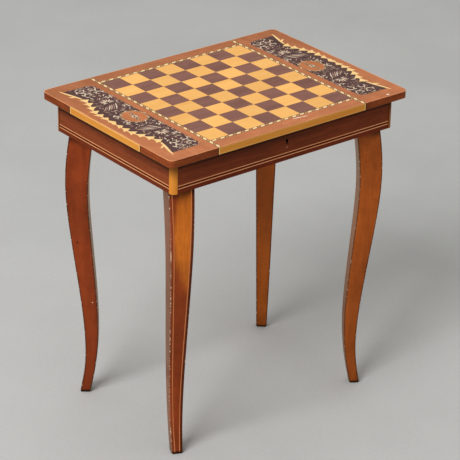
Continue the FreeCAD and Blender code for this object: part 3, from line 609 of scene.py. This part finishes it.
def corner_arcs(half_x, half_y, radius, steps):
    """The middle of each rounded corner of a rectangle, and the ways out to points round it."""
    arcs = []
    for corner, (sign_x, sign_y) in enumerate(((1, 1), (-1, 1), (-1, -1), (1, -1))):
        middle = Vector((sign_x * (half_x - radius), sign_y * (half_y - radius)))
        angles = [radians(90 * (corner + step / steps)) for step in range(steps + 1)]
        arcs.append((middle, [Vector((cos(angle), sin(angle))) for angle in angles]))
    return arcs


def rounded_section(half_depth, half_width):
    """Points round a leg's section, each with how much it lies on an edge."""
    corners = corner_arcs(half_depth, half_width, LEG_EDGE, EDGE_STEPS)
    arcs = [[middle + LEG_EDGE * way for way in ways] for middle, ways in corners]
    points = []
    for corner, arc in enumerate(arcs):
        for step, spot in enumerate(arc):
            points.append((*spot, ROUND_EDGE if 0 < step < EDGE_STEPS else ARC_END))
        after = arcs[(corner + 1) % len(arcs)][0]
        side = (after - arc[-1]).length
        outer_face = corner == OUTER_CORNER
        outer_mark = (LINE_INSET - LEG_EDGE if outer_face else RIM_WIDTH) / side
        inner_mark = (LINE_INSET + LINE_WIDTH - LEG_EDGE) / side
        inner = [between((inner_mark, 1 - inner_mark), share) for share in FACE_SHARES]
        for share in (outer_mark, inner_mark, *inner, 1 - inner_mark, 1 - outer_mark):
            on_rim = outer_face and share in (outer_mark, 1 - outer_mark)
            points.append((*arc[-1].lerp(after, share), FACE_RIM if on_rim else 0))
    return points


def leg_place(side_x, side_y, facing):
    """A function from a leg's own (outward, sideways, up) to the table's frame."""
    angle = radians(facing)
    out = Vector((cos(angle), sin(angle), 0))
    across = Vector((-sin(angle), cos(angle), 0))
    foot = Vector((side_x * STUD.x, side_y * STUD.y, 0))
    return lambda x, y, z: foot + out * x + across * y + Vector((0, 0, z))


def on_face(reach, half):
    """How far onto a face a point lies, from 0 at its edge to 1."""
    return smooth_share(reach, half - FACE_BLEND[0], half - FACE_BLEND[1])


LEG_ATTRIBUTES = ("edge", "rim", "polished", "worn", "tone", "gold", "honey")
lines_bm = bmesh.new()
leg_shares = [rise / LEG_LENGTH for rise in FOOT_RISES]
leg_shares += [step / LEG_STEPS for step in range(1, LEG_STEPS + 1)]
leg_levels = [(share, *leg_frame(share)) for share in leg_shares]
for corner, (side_x, side_y, facing, gold, tones) in LEGS.items():
    put = leg_place(side_x, side_y, facing)
    bm = bmesh.new()
    layers = {name: bm.verts.layers.float.new(name) for name in LEG_ATTRIBUTES}
    rings = []
    for share, middle, half_depth, half_width in leg_levels:
        tone = np.interp(share, *zip(*tones))
        worn = 1 if WORN_PATCH[0] < share < WORN_PATCH[1] else WORN_BELOW * (share < WORN_PATCH[0])
        start = between(HONEY_STARTS, smooth_share(share, *HONEY_TOP))
        ring = []
        for x, y, edge in rounded_section(half_depth, half_width):
            vertex = bm.verts.new(put(middle + x, y, share * LEG_LENGTH))
            inside = abs(y) < half_width - LINE_INSET - LINE_WIDTH / 2
            upper = smooth_share(share + HONEY_LEAN * y / half_width, *HONEY_RISE)
            sideways = smooth_share(y / half_width, *(start + fade for fade in HONEY_FADE))
            lit = corner == "front_left" and x > 0 and y < 0
            polished = on_face(-x, half_depth) if corner in POLISHED_INSIDE else on_face(-y, half_width)
            values = (edge, edge * LIT_RIM if lit else edge, polished * (corner != "back_right"), worn * lit,
                      tone, gold, on_face(x, half_depth) * upper * sideways * inside)
            for name, value in zip(LEG_ATTRIBUTES, values):
                vertex[layers[name]] = value
            ring.append(vertex)
        rings.append(ring)
    skin(bm, rings)
    leg = mesh_object(f"{corner}_leg_shaped", bm, ["leg_wood"], "carcase", smooth=40)
    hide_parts(f"{corner}_leg")
    for side in (-1, 1):
        rows = []
        for share, middle, half_depth, half_width in leg_levels:
            outer = side * (half_width - LINE_INSET)
            inner = side * (half_width - LINE_INSET - LINE_WIDTH)
            top = middle + half_depth + LINE_PROUD
            bottom = middle + half_depth - LINE_DEPTH
            spots = ((top, outer), (top, inner), (bottom, inner), (bottom, outer))
            rows.append([lines_bm.verts.new(put(x, y, share * LEG_LENGTH)) for x, y in spots])
        skin(lines_bm, rows)
leg_lines = mesh_object("leg_lines_inlaid", lines_bm, ["leg_line_wood"], "carcase", smooth=40)
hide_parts("leg_stringing")

# Mosaic bands: slanted slips of cream wood with brown and olive ones between, inside two thin lines.
BAND_SLANT = 3.4 * MM
BAND_PERIOD = 16.2 * MM
BAND_EDGE = 1.3 * MM
BAND_LOOKS = ["band_cream_inlay", "band_brown_inlay", "band_olive_inlay"]
PALE, BROWN, DULL = range(3)
BAND_SLIPS = (PALE, 0.48), (BROWN, 0.12), (DULL, 0.28), (BROWN, 0.12)


def long_axis(low, high):
    return 0 if high.x - low.x > high.y - low.y else 1


def mosaic_band(node):
    """Slips across a band, each leaning along it, between edge lines."""
    low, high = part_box(node)
    axis = long_axis(low, high)
    start, end = low[axis], high[axis]
    near, far = low[1 - axis], high[1 - axis]
    period = (end - start) / round((end - start) / BAND_PERIOD)
    bm = bmesh.new()

    def slip(corners, look):
        outline = [spot[::-1] if axis else spot for spot in dict.fromkeys(corners)]
        if len(outline) > 2:
            prism(bm, outline, low.z, high.z, look)

    for line in (near, far - BAND_EDGE):
        slip(((start, line), (end, line), (end, line + BAND_EDGE), (start, line + BAND_EDGE)), BROWN)
    here = start - period
    while here < end:
        for look, share in BAND_SLIPS:
            ahead = here + share * period
            near_ends = [min(max(value, start), end) for value in (here, ahead)]
            far_ends = [min(max(value + BAND_SLANT, start), end) for value in (here, ahead)]
            slip(((near_ends[0], near + BAND_EDGE), (near_ends[1], near + BAND_EDGE),
                  (far_ends[1], far - BAND_EDGE), (far_ends[0], far - BAND_EDGE)), look)
            here = ahead
    piece = mesh_object(f"{node}_mosaic", bm, BAND_LOOKS, "lid")
    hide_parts(node)


for side in SIDES:
    mosaic_band(f"{side}_band")

# Marquetry: scrolls and leaves of pale wood in the dark panels, a rosette in each medallion.
# Its lengths are millimetres, and its levels are above the lid's top.
PANEL_INNER = 162
PANEL_HALF = 147
MEDALLION_INSET = 21
MEDALLION_RADIUS = 20.2
MEDALLION_HALF = 23.4
RING_LEAVES = 34
ROSETTE_PETALS = 11
PALMETTE_PETALS = 9
INLAY_LOOKS = ["cream_inlay", "beige_inlay", "grey_inlay", "olive_inlay", "flame_inlay", "panel_veneer",
               "medallion_veneer"]
CREAM, BEIGE, GREY, OLIVE, FLAME, PLUM, ORANGE = range(7)
LEAF_STEPS = 7
SCROLL_STEPS = 22
INLAY_LOW = LID_TOP - 0.3 * MM
GROUND, FILLER, SMALL, TOOTH, LEAF, PETAL = 0.01, 0.02, 0.03, 0.04, 0.05, 0.06
chance = random.Random(7)


class Marquetry:
    """Inlay on one end of the lid, drawn in millimetres out from the panel's inner edge and along it."""

    def __init__(self, side):
        self.side = side
        self.bm = bmesh.new()
        self.taken = []

    def points(self, path):
        return [(self.side * (PANEL_INNER + u) * MM, v * MM) for u, v in path]

    def flat(self, outline, look, level):
        prism(self.bm, self.points(outline), INLAY_LOW, LID_TOP + level * MM, look)

    def strip(self, path, widths, look, level):
        widths = [width * MM for width in widths]
        ribbon(self.bm, self.points(path), widths, INLAY_LOW, LID_TOP + level * MM, look)

    def both(self, path, widths, look, level):
        """A strip and its mirror image about the middle of the panel."""
        self.strip(path, widths, look, level)
        self.strip([(u, -v) for u, v in path], widths, look, level)
        self.taken += path

    def leaf(self, u, v, angle, length, width, look, bend=0, level=LEAF, twin=True):
        """A leaf from its root: widest near its middle, with a bent middle line."""
        path = [(u, v)]
        widths = []
        reach = length / LEAF_STEPS
        for step in range(LEAF_STEPS + 1):
            share = step / LEAF_STEPS
            swell = sin(pi * (0.9 * share + 0.1)) ** 0.8
            widths.append(max(width * swell, 0.12))
            turn = angle + bend * share
            path.append((path[-1][0] + cos(turn) * reach, path[-1][1] + sin(turn) * reach))
        (self.both if twin else self.strip)(path[:-1], widths, look, level)

    def scroll(self, u, v, radius, start, turns):
        """A curling stem that thins towards its end, with leaves along its outside."""
        hand = copysign(1, turns)
        path = []
        widths = []
        for step in range(SCROLL_STEPS + 1):
            share = step / SCROLL_STEPS
            reach = radius * (1 - 0.7 * share)
            angle = start + turns * tau * share
            path.append((u + reach * cos(angle), v + reach * sin(angle)))
            widths.append(1.3 * (1 - share) ** 0.6 + 0.6)
            if step % 4 == 1 and share < 0.7:
                look = chance.choice((CREAM, BEIGE, GREY))
                self.leaf(*path[-1], angle + hand * 0.75, 8.5 - 5 * share, 2.3 - share, look, hand * 1.2, SMALL)
        self.both(path, widths, CREAM, LEAF)

    def border(self, outline, root, pitch, size, look, level):
        """A flat shape along the panel's outer edge, and its mirror image."""
        spots = []
        for reach, run in outline:
            v = root + run * pitch
            spots.append((panel_edge(v) + TOOTH_ROOT + (reach - TOOTH_ROOT) * size, v))
        for way in (1, -1):
            self.flat([(u, way * v) for u, v in spots], look, level)

    def free(self, u, v, room):
        """Whether no strip comes nearer than the room to a place."""
        return all(hypot(u - a, v - b) > room for a, b in self.taken)


def panel_edge(v):
    """How far out a panel's dark ground reaches at a place along it: a wide middle, a waist and wider ends."""
    share = abs(v) / PANEL_HALF
    if share <= 0.26:
        return 60
    if share <= 0.7:
        return 44 + 16 * (1 + cos(pi * (share - 0.26) / 0.44)) / 2
    return 44 + 8 * ((share - 0.7) / 0.3) ** 2


# place of each scroll's middle, its radius, where it starts and its turns
SCROLLS = (
    (12, 133, 8.5, 2.8, 0.85), (31, 134, 8.5, 0.2, -0.85), (10, 112, 7.5, -2.8, -0.85),
    (29, 113, 7.5, -0.2, 0.85), (8, 92, 5.5, 2.6, 0.8), (7, 42, 5.5, -2.4, -0.8), (48, 12, 5.5, 1.2, 0.8),
)
# light leaves along the outer edge and the ground between: millimetres out, shares of their pitch along
TOOTH_LEAF = ((3.4, 0), (0.4, 0.22), (-2.6, 0.42), (-6, 0.6), (-0.6, 0.74), (2, 0.86), (2.6, 1.03),
              (4.6, 1.03), (5.4, 0.84), (12, 0.92), (8.2, 0.6), (6, 0.3), (4.8, 0))
TOOTH_GROUND = ((-6, 0.6), (-0.6, 0.74), (2, 0.86), (2.8, 1), (3.4, 1), (0.4, 1.22),
                (-2.6, 1.42), (-6, 1.6))
TOOTH_PITCH = 15.75
TOOTH_FIRST = 10.3
TOOTH_ROOT = 4
TOOTH_SIZES = 0.7, 0.9, 1, 1, 1, 0.92
# one half of the leaf in the middle of the edge and of the ground beside it, in millimetres
MIDDLE_LEAF = ((-4.6, 0), (0.4, 6.2), (3.4, 10.3), (4.8, 10.4), (8.6, 5), (6.2, 0))
MIDDLE_GROUND = ((-4.6, 0), (0.4, 6.2), (3.4, 10.3), (0.4, 13.8), (-2.6, 16.9), (-6, 19.75))
# slender stem at each end of the edge and the dark ground inside it: path, widths, look and level
STEM_GROUND = (((44.6, 104), (45.6, 112), (47, 121), (49.6, 131), (52, 140), (53.6, 146.4)),
               (4, 7, 9.5, 10, 9.5, 9), PLUM, 0.015)
STEM = (((47.4, 103.5), (48.6, 109), (51, 119), (54.2, 130), (57, 140), (59, 148), (60.2, 154)),
        (1.6, 3, 4, 4.2, 3.6, 2.4, 0.4), FLAME, TOOTH)
# its side leaf: place, turn, length, width, look, bend and level
STEM_LEAF = 51.5, 117, 0.62, 12.5, 3.6, FLAME, 0, 0.045
FILLER_TRIES = 700
FILLER_ROOM = 2.9
FILLER_LOOKS = GREY, GREY, BEIGE, CREAM
# small leaves along the inner edge and the ends: their number, first place, pitch, turns and looks
SMALL_ROWS = ((21, (0.3, 26), (0, 5.6), (0.9, -0.9), (OLIVE, GREY, BEIGE)),
              (7, (5.5, 146.4), (6, 0), (-0.8, -2.3), (GREY, BEIGE, OLIVE)))
# how much larger than the medallion each oval is, its level and its look
OVALS = (1.5, 0.012, OLIVE), (0, 0.02, ORANGE)
RING_LOOKS = CREAM, GREY, OLIVE, BEIGE
for side, name in ((-1, "left"), (1, "right")):
    work = Marquetry(side)
    for scroll in SCROLLS:
        work.scroll(*scroll)
    # palmettes between the medallion and the ends, with long streaming leaves
    for petal in range(PALMETTE_PETALS):
        share = petal / (PALMETTE_PETALS - 1) * 2 - 1
        work.leaf(22, 70, 1.5 + 1.5 * share, 16 * (1 - 0.3 * share * share), 2.5, (CREAM, BEIGE)[petal % 2],
                  0.6 * share, PETAL)
    for index in range(6):
        work.leaf(14 + 4.2 * index, 62 - index, -1.2 + 0.06 * index, 26 - 1.2 * index, 2,
                  (CREAM, GREY, BEIGE)[index % 3], bend=0.35)
    # leaves in the spaces between, clear of the medallion, the corners and the outer edge
    for index in range(FILLER_TRIES):
        v = chance.uniform(2, 142)
        u = chance.uniform(3, panel_edge(v) - 9)
        if hypot(u - MEDALLION_INSET, v) < MEDALLION_RADIUS + 5 or u < v - 132:
            continue
        angle = 1.6 * sin(u / 11) + 1.4 * cos(v / 13)
        length = chance.uniform(5, 9.5)
        far_u, far_v = u + 0.6 * length * cos(angle), v + 0.6 * length * sin(angle)
        if work.free(u, v, FILLER_ROOM) and work.free(far_u, far_v, FILLER_ROOM):
            work.leaf(u, v, angle, length, chance.uniform(1.4, 2.2), chance.choice(FILLER_LOOKS),
                      chance.uniform(-1.3, 1.3), FILLER)
    for count, (u, v), (out, run), leans, looks in SMALL_ROWS:
        for step in range(count):
            work.leaf(u + out * step, v + run * step, leans[step % 2], 5.2, 1.8, looks[step % 3], 0.5, SMALL)
    # toothed light leaves along the outer edge, on a dark ground
    for tooth, size in enumerate(TOOTH_SIZES):
        root = TOOTH_FIRST + TOOTH_PITCH * tooth
        work.border(TOOTH_GROUND, root, TOOTH_PITCH, 1, PLUM, GROUND)
        work.border(TOOTH_LEAF, root, TOOTH_PITCH, size, FLAME, TOOTH)
    work.border(MIDDLE_GROUND, 0, 1, 1, PLUM, GROUND)
    work.border(MIDDLE_LEAF, 0, 1, 0.8, FLAME, TOOTH)
    work.both(*STEM_GROUND)
    work.both(*STEM)
    work.leaf(*STEM_LEAF)
    # oval ground of the medallion with a leafy ring and a rosette, and a sprig to both sides
    turns = [leaf * tau / RING_LEAVES for leaf in range(RING_LEAVES)]
    for grow, level, look in OVALS:
        oval = [(MEDALLION_INSET + (MEDALLION_RADIUS + grow) * cos(turn),
                 (MEDALLION_HALF + grow) * sin(turn)) for turn in turns]
        work.flat(oval, look, level)
    for leaf, (turn, spot) in enumerate(zip(turns, oval)):
        lean = (1, 2.1)[leaf % 2]
        work.leaf(*spot, turn + lean, 5.2, 1.9, RING_LOOKS[leaf % 4], 0.4, twin=False)
    for petal in range(ROSETTE_PETALS):
        turn = petal * tau / ROSETTE_PETALS
        between_turns = turn + pi / ROSETTE_PETALS
        odd = petal % 2
        work.leaf(MEDALLION_INSET, 0, turn, 8, 2.6, (OLIVE, GREY)[odd], 0.5, SMALL, False)
        work.leaf(MEDALLION_INSET, 0, between_turns, 6, 1.6, (CREAM, BEIGE)[odd], 0.5, PETAL, False)
    for way in (1, -1):
        for step in range(5):
            u = MEDALLION_INSET + way * (0.4 * (step - 2.5) ** 2 - 2.4)
            v = way * (4 + 2.5 * step)
            size = 7 - 0.6 * step, 1.6
            lean, bend = 0.9 * way, 0.5 * way
            work.leaf(u, v, lean, *size, (OLIVE, BEIGE, GREY)[step % 3], bend, twin=False)
            work.leaf(u, v, pi - lean, *size, (GREY, OLIVE, BEIGE)[step % 3], -bend, twin=False)
    mesh_object(f"{name}_marquetry", work.bm, INLAY_LOOKS, "lid")

# Wear on the lid: path and widths in millimetres of a long scuff in the front field and a chip near its end.
SCUFFS = (
    (((13, -154), (20, -155), (26, -155.8), (32, -157)), (0.5, 2.3, 2, 0.4)),
    (((27, -155.4), (34, -157), (40, -158.6)), (0.5, 2, 0.4)),
    (((199.8, -166), (202.4, -167.1), (205, -167.9)), (1.6, 4.2, 1.5)),
)
WEAR_LOW, WEAR_TOP = LID_TOP - 0.2 * MM, LID_TOP + 0.02 * MM
bm = bmesh.new()
for path, widths in SCUFFS:
    ribbon(bm, [(x * MM, y * MM) for x, y in path], [w * MM for w in widths], WEAR_LOW, WEAR_TOP)
mesh_object("lid_scuffs", bm, ["bare_scuff"], "lid")

# Painted highlight on the lid's rounded upper arris, partly rubbed wear: a thin paler line round its top, wider
# where it is worn more.
ARRIS_CORNER = 9 * MM
ARRIS_INSET = 0.05 * MM
ARRIS_WIDTHS = 0.4 * MM, 1.2 * MM
ARRIS_TURN = 6
ARRIS_STEPS = 30
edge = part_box("lid_core")[1]
arcs = []
for middle, ways in corner_arcs(edge.x, edge.y, ARRIS_CORNER, ARRIS_TURN):
    arcs.append([(middle + (ARRIS_CORNER - ARRIS_INSET) * way, way) for way in ways])
path = []
for arc, after in zip(arcs, arcs[1:] + arcs[:1]):
    (start, way), end = arc[-1], after[0][0]
    path += arc + [(start.lerp(end, step / ARRIS_STEPS), way) for step in range(1, ARRIS_STEPS)]
bm = bmesh.new()
rings = []
for step, (spot, way) in enumerate(path):
    worn = 0.5 + 0.5 * sin(0.9 * step) * sin(0.37 * step + 1)
    inner = spot - way * between(ARRIS_WIDTHS, worn)
    section = ((spot, WEAR_LOW), (spot, WEAR_TOP), (inner, WEAR_TOP), (inner, WEAR_LOW))
    rings.append([bm.verts.new((x, y, z)) for (x, y), z in section])
skin(bm, rings, closed=True)
mesh_object("lid_arris", bm, ["arris_highlight_wood"], "lid")


def joint_lines(piece, kind, width, beyond, body):
    """Dark lines on the outer faces of a kind of member, at both ends and partly beyond them."""
    bm = bmesh.new()
    for side in SIDES:
        name = f"{side}_{kind}"
        low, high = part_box(name)
        axis = long_axis(low, high)
        outside = (low if side in ("left", "front") else high)[1 - axis]
        face = (outside - LINE_PROUD, outside + LINE_PROUD)
        start, end = low[axis] - beyond, high[axis] + beyond
        for run in ((start, start + width), (end - width, end)):
            (x, far_x), (y, far_y) = (face, run) if axis else (run, face)
            prism(bm, ((x, y), (far_x, y), (far_x, far_y), (x, far_y)), low.z, high.z)
    mesh_object(piece, bm, ["joint_line_wood"], body)


joint_lines("strip_joint_lines", "edge_strip", width=1.7 * MM, beyond=0.85 * MM, body="lid")

# A small pale pin mark in the front apron under the keyhole.
PIN_HEIGHT = 505.5 * MM
PIN_RADIUS = 1 * MM
PIN_CORNERS = 7
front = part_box("front_apron")[0].y
bm = bmesh.new()
rings = []
angles = [corner * tau / PIN_CORNERS for corner in range(PIN_CORNERS)]
for depth in (-LINE_PROUD, LINE_DEPTH):
    spots = [(PIN_RADIUS * cos(angle), PIN_HEIGHT + PIN_RADIUS * sin(angle)) for angle in angles]
    rings.append([bm.verts.new((x, front + depth, z)) for x, z in spots])
skin(bm, rings)
mesh_object("pin_mark", bm, ["pin_mark_wood"], "carcase")

# Painted shade inside the keyhole: a thin dark sleeve that follows its eye and slot through the front apron.
EYE_HEIGHT = 516.5 * MM
EYE_STEPS = 24
LINING_DEPTHS = 0.1 * MM, 8.8 * MM
# radius of the eye, half width and depth of the slot, outside and inside the sleeve
LINING_SIZES = (2.7 * MM, 1.45 * MM, 5.45 * MM), (2.52 * MM, 1.27 * MM, 5.27 * MM)


def keyhole_outline(radius, half_slot, drop):
    """Points round a keyhole, from its eye's middle."""
    first = asin(half_slot / radius) - pi / 2
    sweep = tau - 2 * asin(half_slot / radius)
    angles = [first + sweep * step / EYE_STEPS for step in range(EYE_STEPS + 1)]
    eye = [(radius * cos(angle), radius * sin(angle)) for angle in angles]
    return eye + [(-half_slot, -drop), (half_slot, -drop)]


bm = bmesh.new()
rings = []
for size, depth in ((0, 0), (0, 1), (1, 1), (1, 0)):
    spots = keyhole_outline(*LINING_SIZES[size])
    rings.append([bm.verts.new((x, front + LINING_DEPTHS[depth], EYE_HEIGHT + z)) for x, z in spots])
skin(bm, rings, closed=True)
mesh_object("keyhole_lining", bm, ["painted_hole_shade"], "carcase")

joint_lines("corner_joint_lines", "apron", width=1 * MM, beyond=0, body="carcase")

# Slots in the screw heads: dark bars of painted shade let into each head, turned by chance.
# length and width of a slot as shares of the head's diameter
SLOT_SIZE_SHARES = 0.86, 0.14
SLOT_DEPTH = 0.2 * MM
SLOT_PROUD = 0.02 * MM
SQUARE_CORNERS = (-1, -1), (1, -1), (1, 1), (-1, 1)
# body, axis the heads face along and which way
SCREWS = {
    "box_hinge_screws": ("carcase", 2, 1),
    "lid_hinge_screws": ("lid", 2, -1),
    "link_screws": ("lid", 2, -1),
    "lock_screws": ("carcase", 1, 1),
}


def solid_boxes(node):
    """The low and high corner of each separate solid of a node."""
    shape = bmesh.new()
    shape.from_mesh(nodes[node].data)
    bmesh.ops.remove_doubles(shape, verts=shape.verts[:], dist=0.001 * MM)
    left = set(shape.verts)
    boxes = []
    for first in shape.verts:
        group = [first] if first in left else []
        for vertex in group:
            left.discard(vertex)
            near = {edge.other_vert(vertex) for edge in vertex.link_edges} & left
            left -= near
            group += near
        if group:
            spots = np.array([nodes[node].matrix_world @ vertex.co for vertex in group])
            boxes.append((spots.min(0), spots.max(0)))
    shape.free()
    return boxes


for node, (body, axis, way) in SCREWS.items():
    bm = bmesh.new()
    for low, high in solid_boxes(node):
        middle = (low + high) / 2
        others = [index for index in range(3) if index != axis]
        radius = (high - low)[others].min() / 2
        face = high[axis] if way > 0 else low[axis]
        turn = chance.uniform(0, pi)
        long, short = np.zeros(3), np.zeros(3)
        long[others] = cos(turn), sin(turn)
        short[others] = -sin(turn), cos(turn)
        half_long, half_short = (share * radius for share in SLOT_SIZE_SHARES)
        rings = []
        for level in (face - way * SLOT_DEPTH, face + way * SLOT_PROUD):
            middle[axis] = level
            spots = [middle + a * half_long * long + b * half_short * short for a, b in SQUARE_CORNERS]
            rings.append([bm.verts.new(spot) for spot in spots])
        skin(bm, rings)
    mesh_object(f"{node}_slots", bm, ["painted_hole_shade"], body)

# Felt lining: a sheet notched round the corner posts, with a slightly uneven nap.
low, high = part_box("floor_lining")
NOTCH = 13.6 * MM
FELT_COLUMNS = 60
FELT_ROWS = 40
NAP = 0.25 * MM


def notched_marks(start, end, count):
    """Places along one side of the sheet: two in each notch and even ones between."""
    inner = [start + NOTCH + (end - start - 2 * NOTCH) * step / count for step in range(count + 1)]
    return [start, start + NOTCH / 2] + inner + [end - NOTCH / 2, end]


xs = notched_marks(low.x, high.x, FELT_COLUMNS)
ys = notched_marks(low.y, high.y, FELT_ROWS)
bm = bmesh.new()
grid = {}
for i, x in enumerate(xs):
    for j, y in enumerate(ys):
        # the first and last two places along each side lie in the notches
        if 2 <= i <= len(xs) - 3 or 2 <= j <= len(ys) - 3:
            grid[i, j] = bm.verts.new((x, y, high.z - chance.uniform(0, NAP)))
for i, j in grid:
    corners = [grid.get(spot) for spot in ((i, j), (i + 1, j), (i + 1, j + 1), (i, j + 1))]
    if all(corners):
        bm.faces.new(corners)
under = bmesh.ops.extrude_face_region(bm, geom=bm.faces[:], use_keep_orig=True)["geom"]
for item in under:
    if isinstance(item, bmesh.types.BMVert):
        item.co.z = low.z
lining = mesh_object("felt_lining", bm, ["green_felt"], "carcase", smooth=50)
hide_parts("floor_lining")

# Floor, lights and camera.
FLOOR_GREY = linear(190, 190, 189)
WORLD_GREY = linear(190, 190, 187)
MIRRORED_FLOOR = linear(144, 126, 108)
FLOOR_HALF = 12
FLOOR_TONES = 0.95, 1.05
shader, where = material("studio_floor")
mottle = shader.times(shader.noise(where, "floor mottle"), 0.6)
grain = shader.times(shader.noise(where, "floor grain"), 0.4)
tones = [tuple(tone * value for value in FLOOR_GREY) for tone in FLOOR_TONES]
colour = shader.mix(shader.span(shader.math("ADD", mottle, grain), "floor"), *tones)
colour = shader.mix(shader.glossy(), colour, MIRRORED_FLOOR)
shader.set(Base_Color=colour, Roughness=0.8, Specular_IOR_Level=0.2)
floor_mesh = bpy.data.meshes.new("studio_floor")
corners = [(x * FLOOR_HALF, y * FLOOR_HALF, 0) for x, y in SQUARE_CORNERS]
floor_mesh.from_pydata(corners, [], [(0, 1, 2, 3)])
floor_mesh.materials.append(materials["studio_floor"])
floor = placed("studio_floor", floor_mesh)
floor.location.z = -0.2 * MM

scene.world = bpy.data.worlds.new("studio")
sky = Shader(scene.world, "Background")
sky.set(Color=sky.mix(sky.glossy(), WORLD_GREY, MIRRORED_FLOOR), Strength=0.85)

# place, aim, width in metres and power in watts of each softbox
SOFTBOXES = {
    "key_softbox": ((-4.6, -1.3, 4.8), (0, 0, 0.4), 3.2, 330),
    "top_softbox": ((0.3, 0.6, 4.5), (0, 0, 0.5), 3.4, 30),
}
for name, (place, aim, width, power) in SOFTBOXES.items():
    lamp = bpy.data.lights.new(name, "AREA")
    lamp.shape = "SQUARE"
    lamp.size = width
    lamp.energy = power
    holder = placed(name, lamp)
    holder.location = place
    holder.rotation_euler = (Vector(aim) - Vector(place)).to_track_quat("-Z", "Y").to_euler()

camera = bpy.data.cameras.new("camera")
camera.lens = 171.63
camera.sensor_width = 36
view = placed("camera", camera)
view.location = (-2.058, -2.5718, 1.904)
view.rotation_euler = [radians(angle) for angle in (64.0066, -1.0307, -38.3619)]
scene.camera = view
scene.view_settings.view_transform = "Standard"
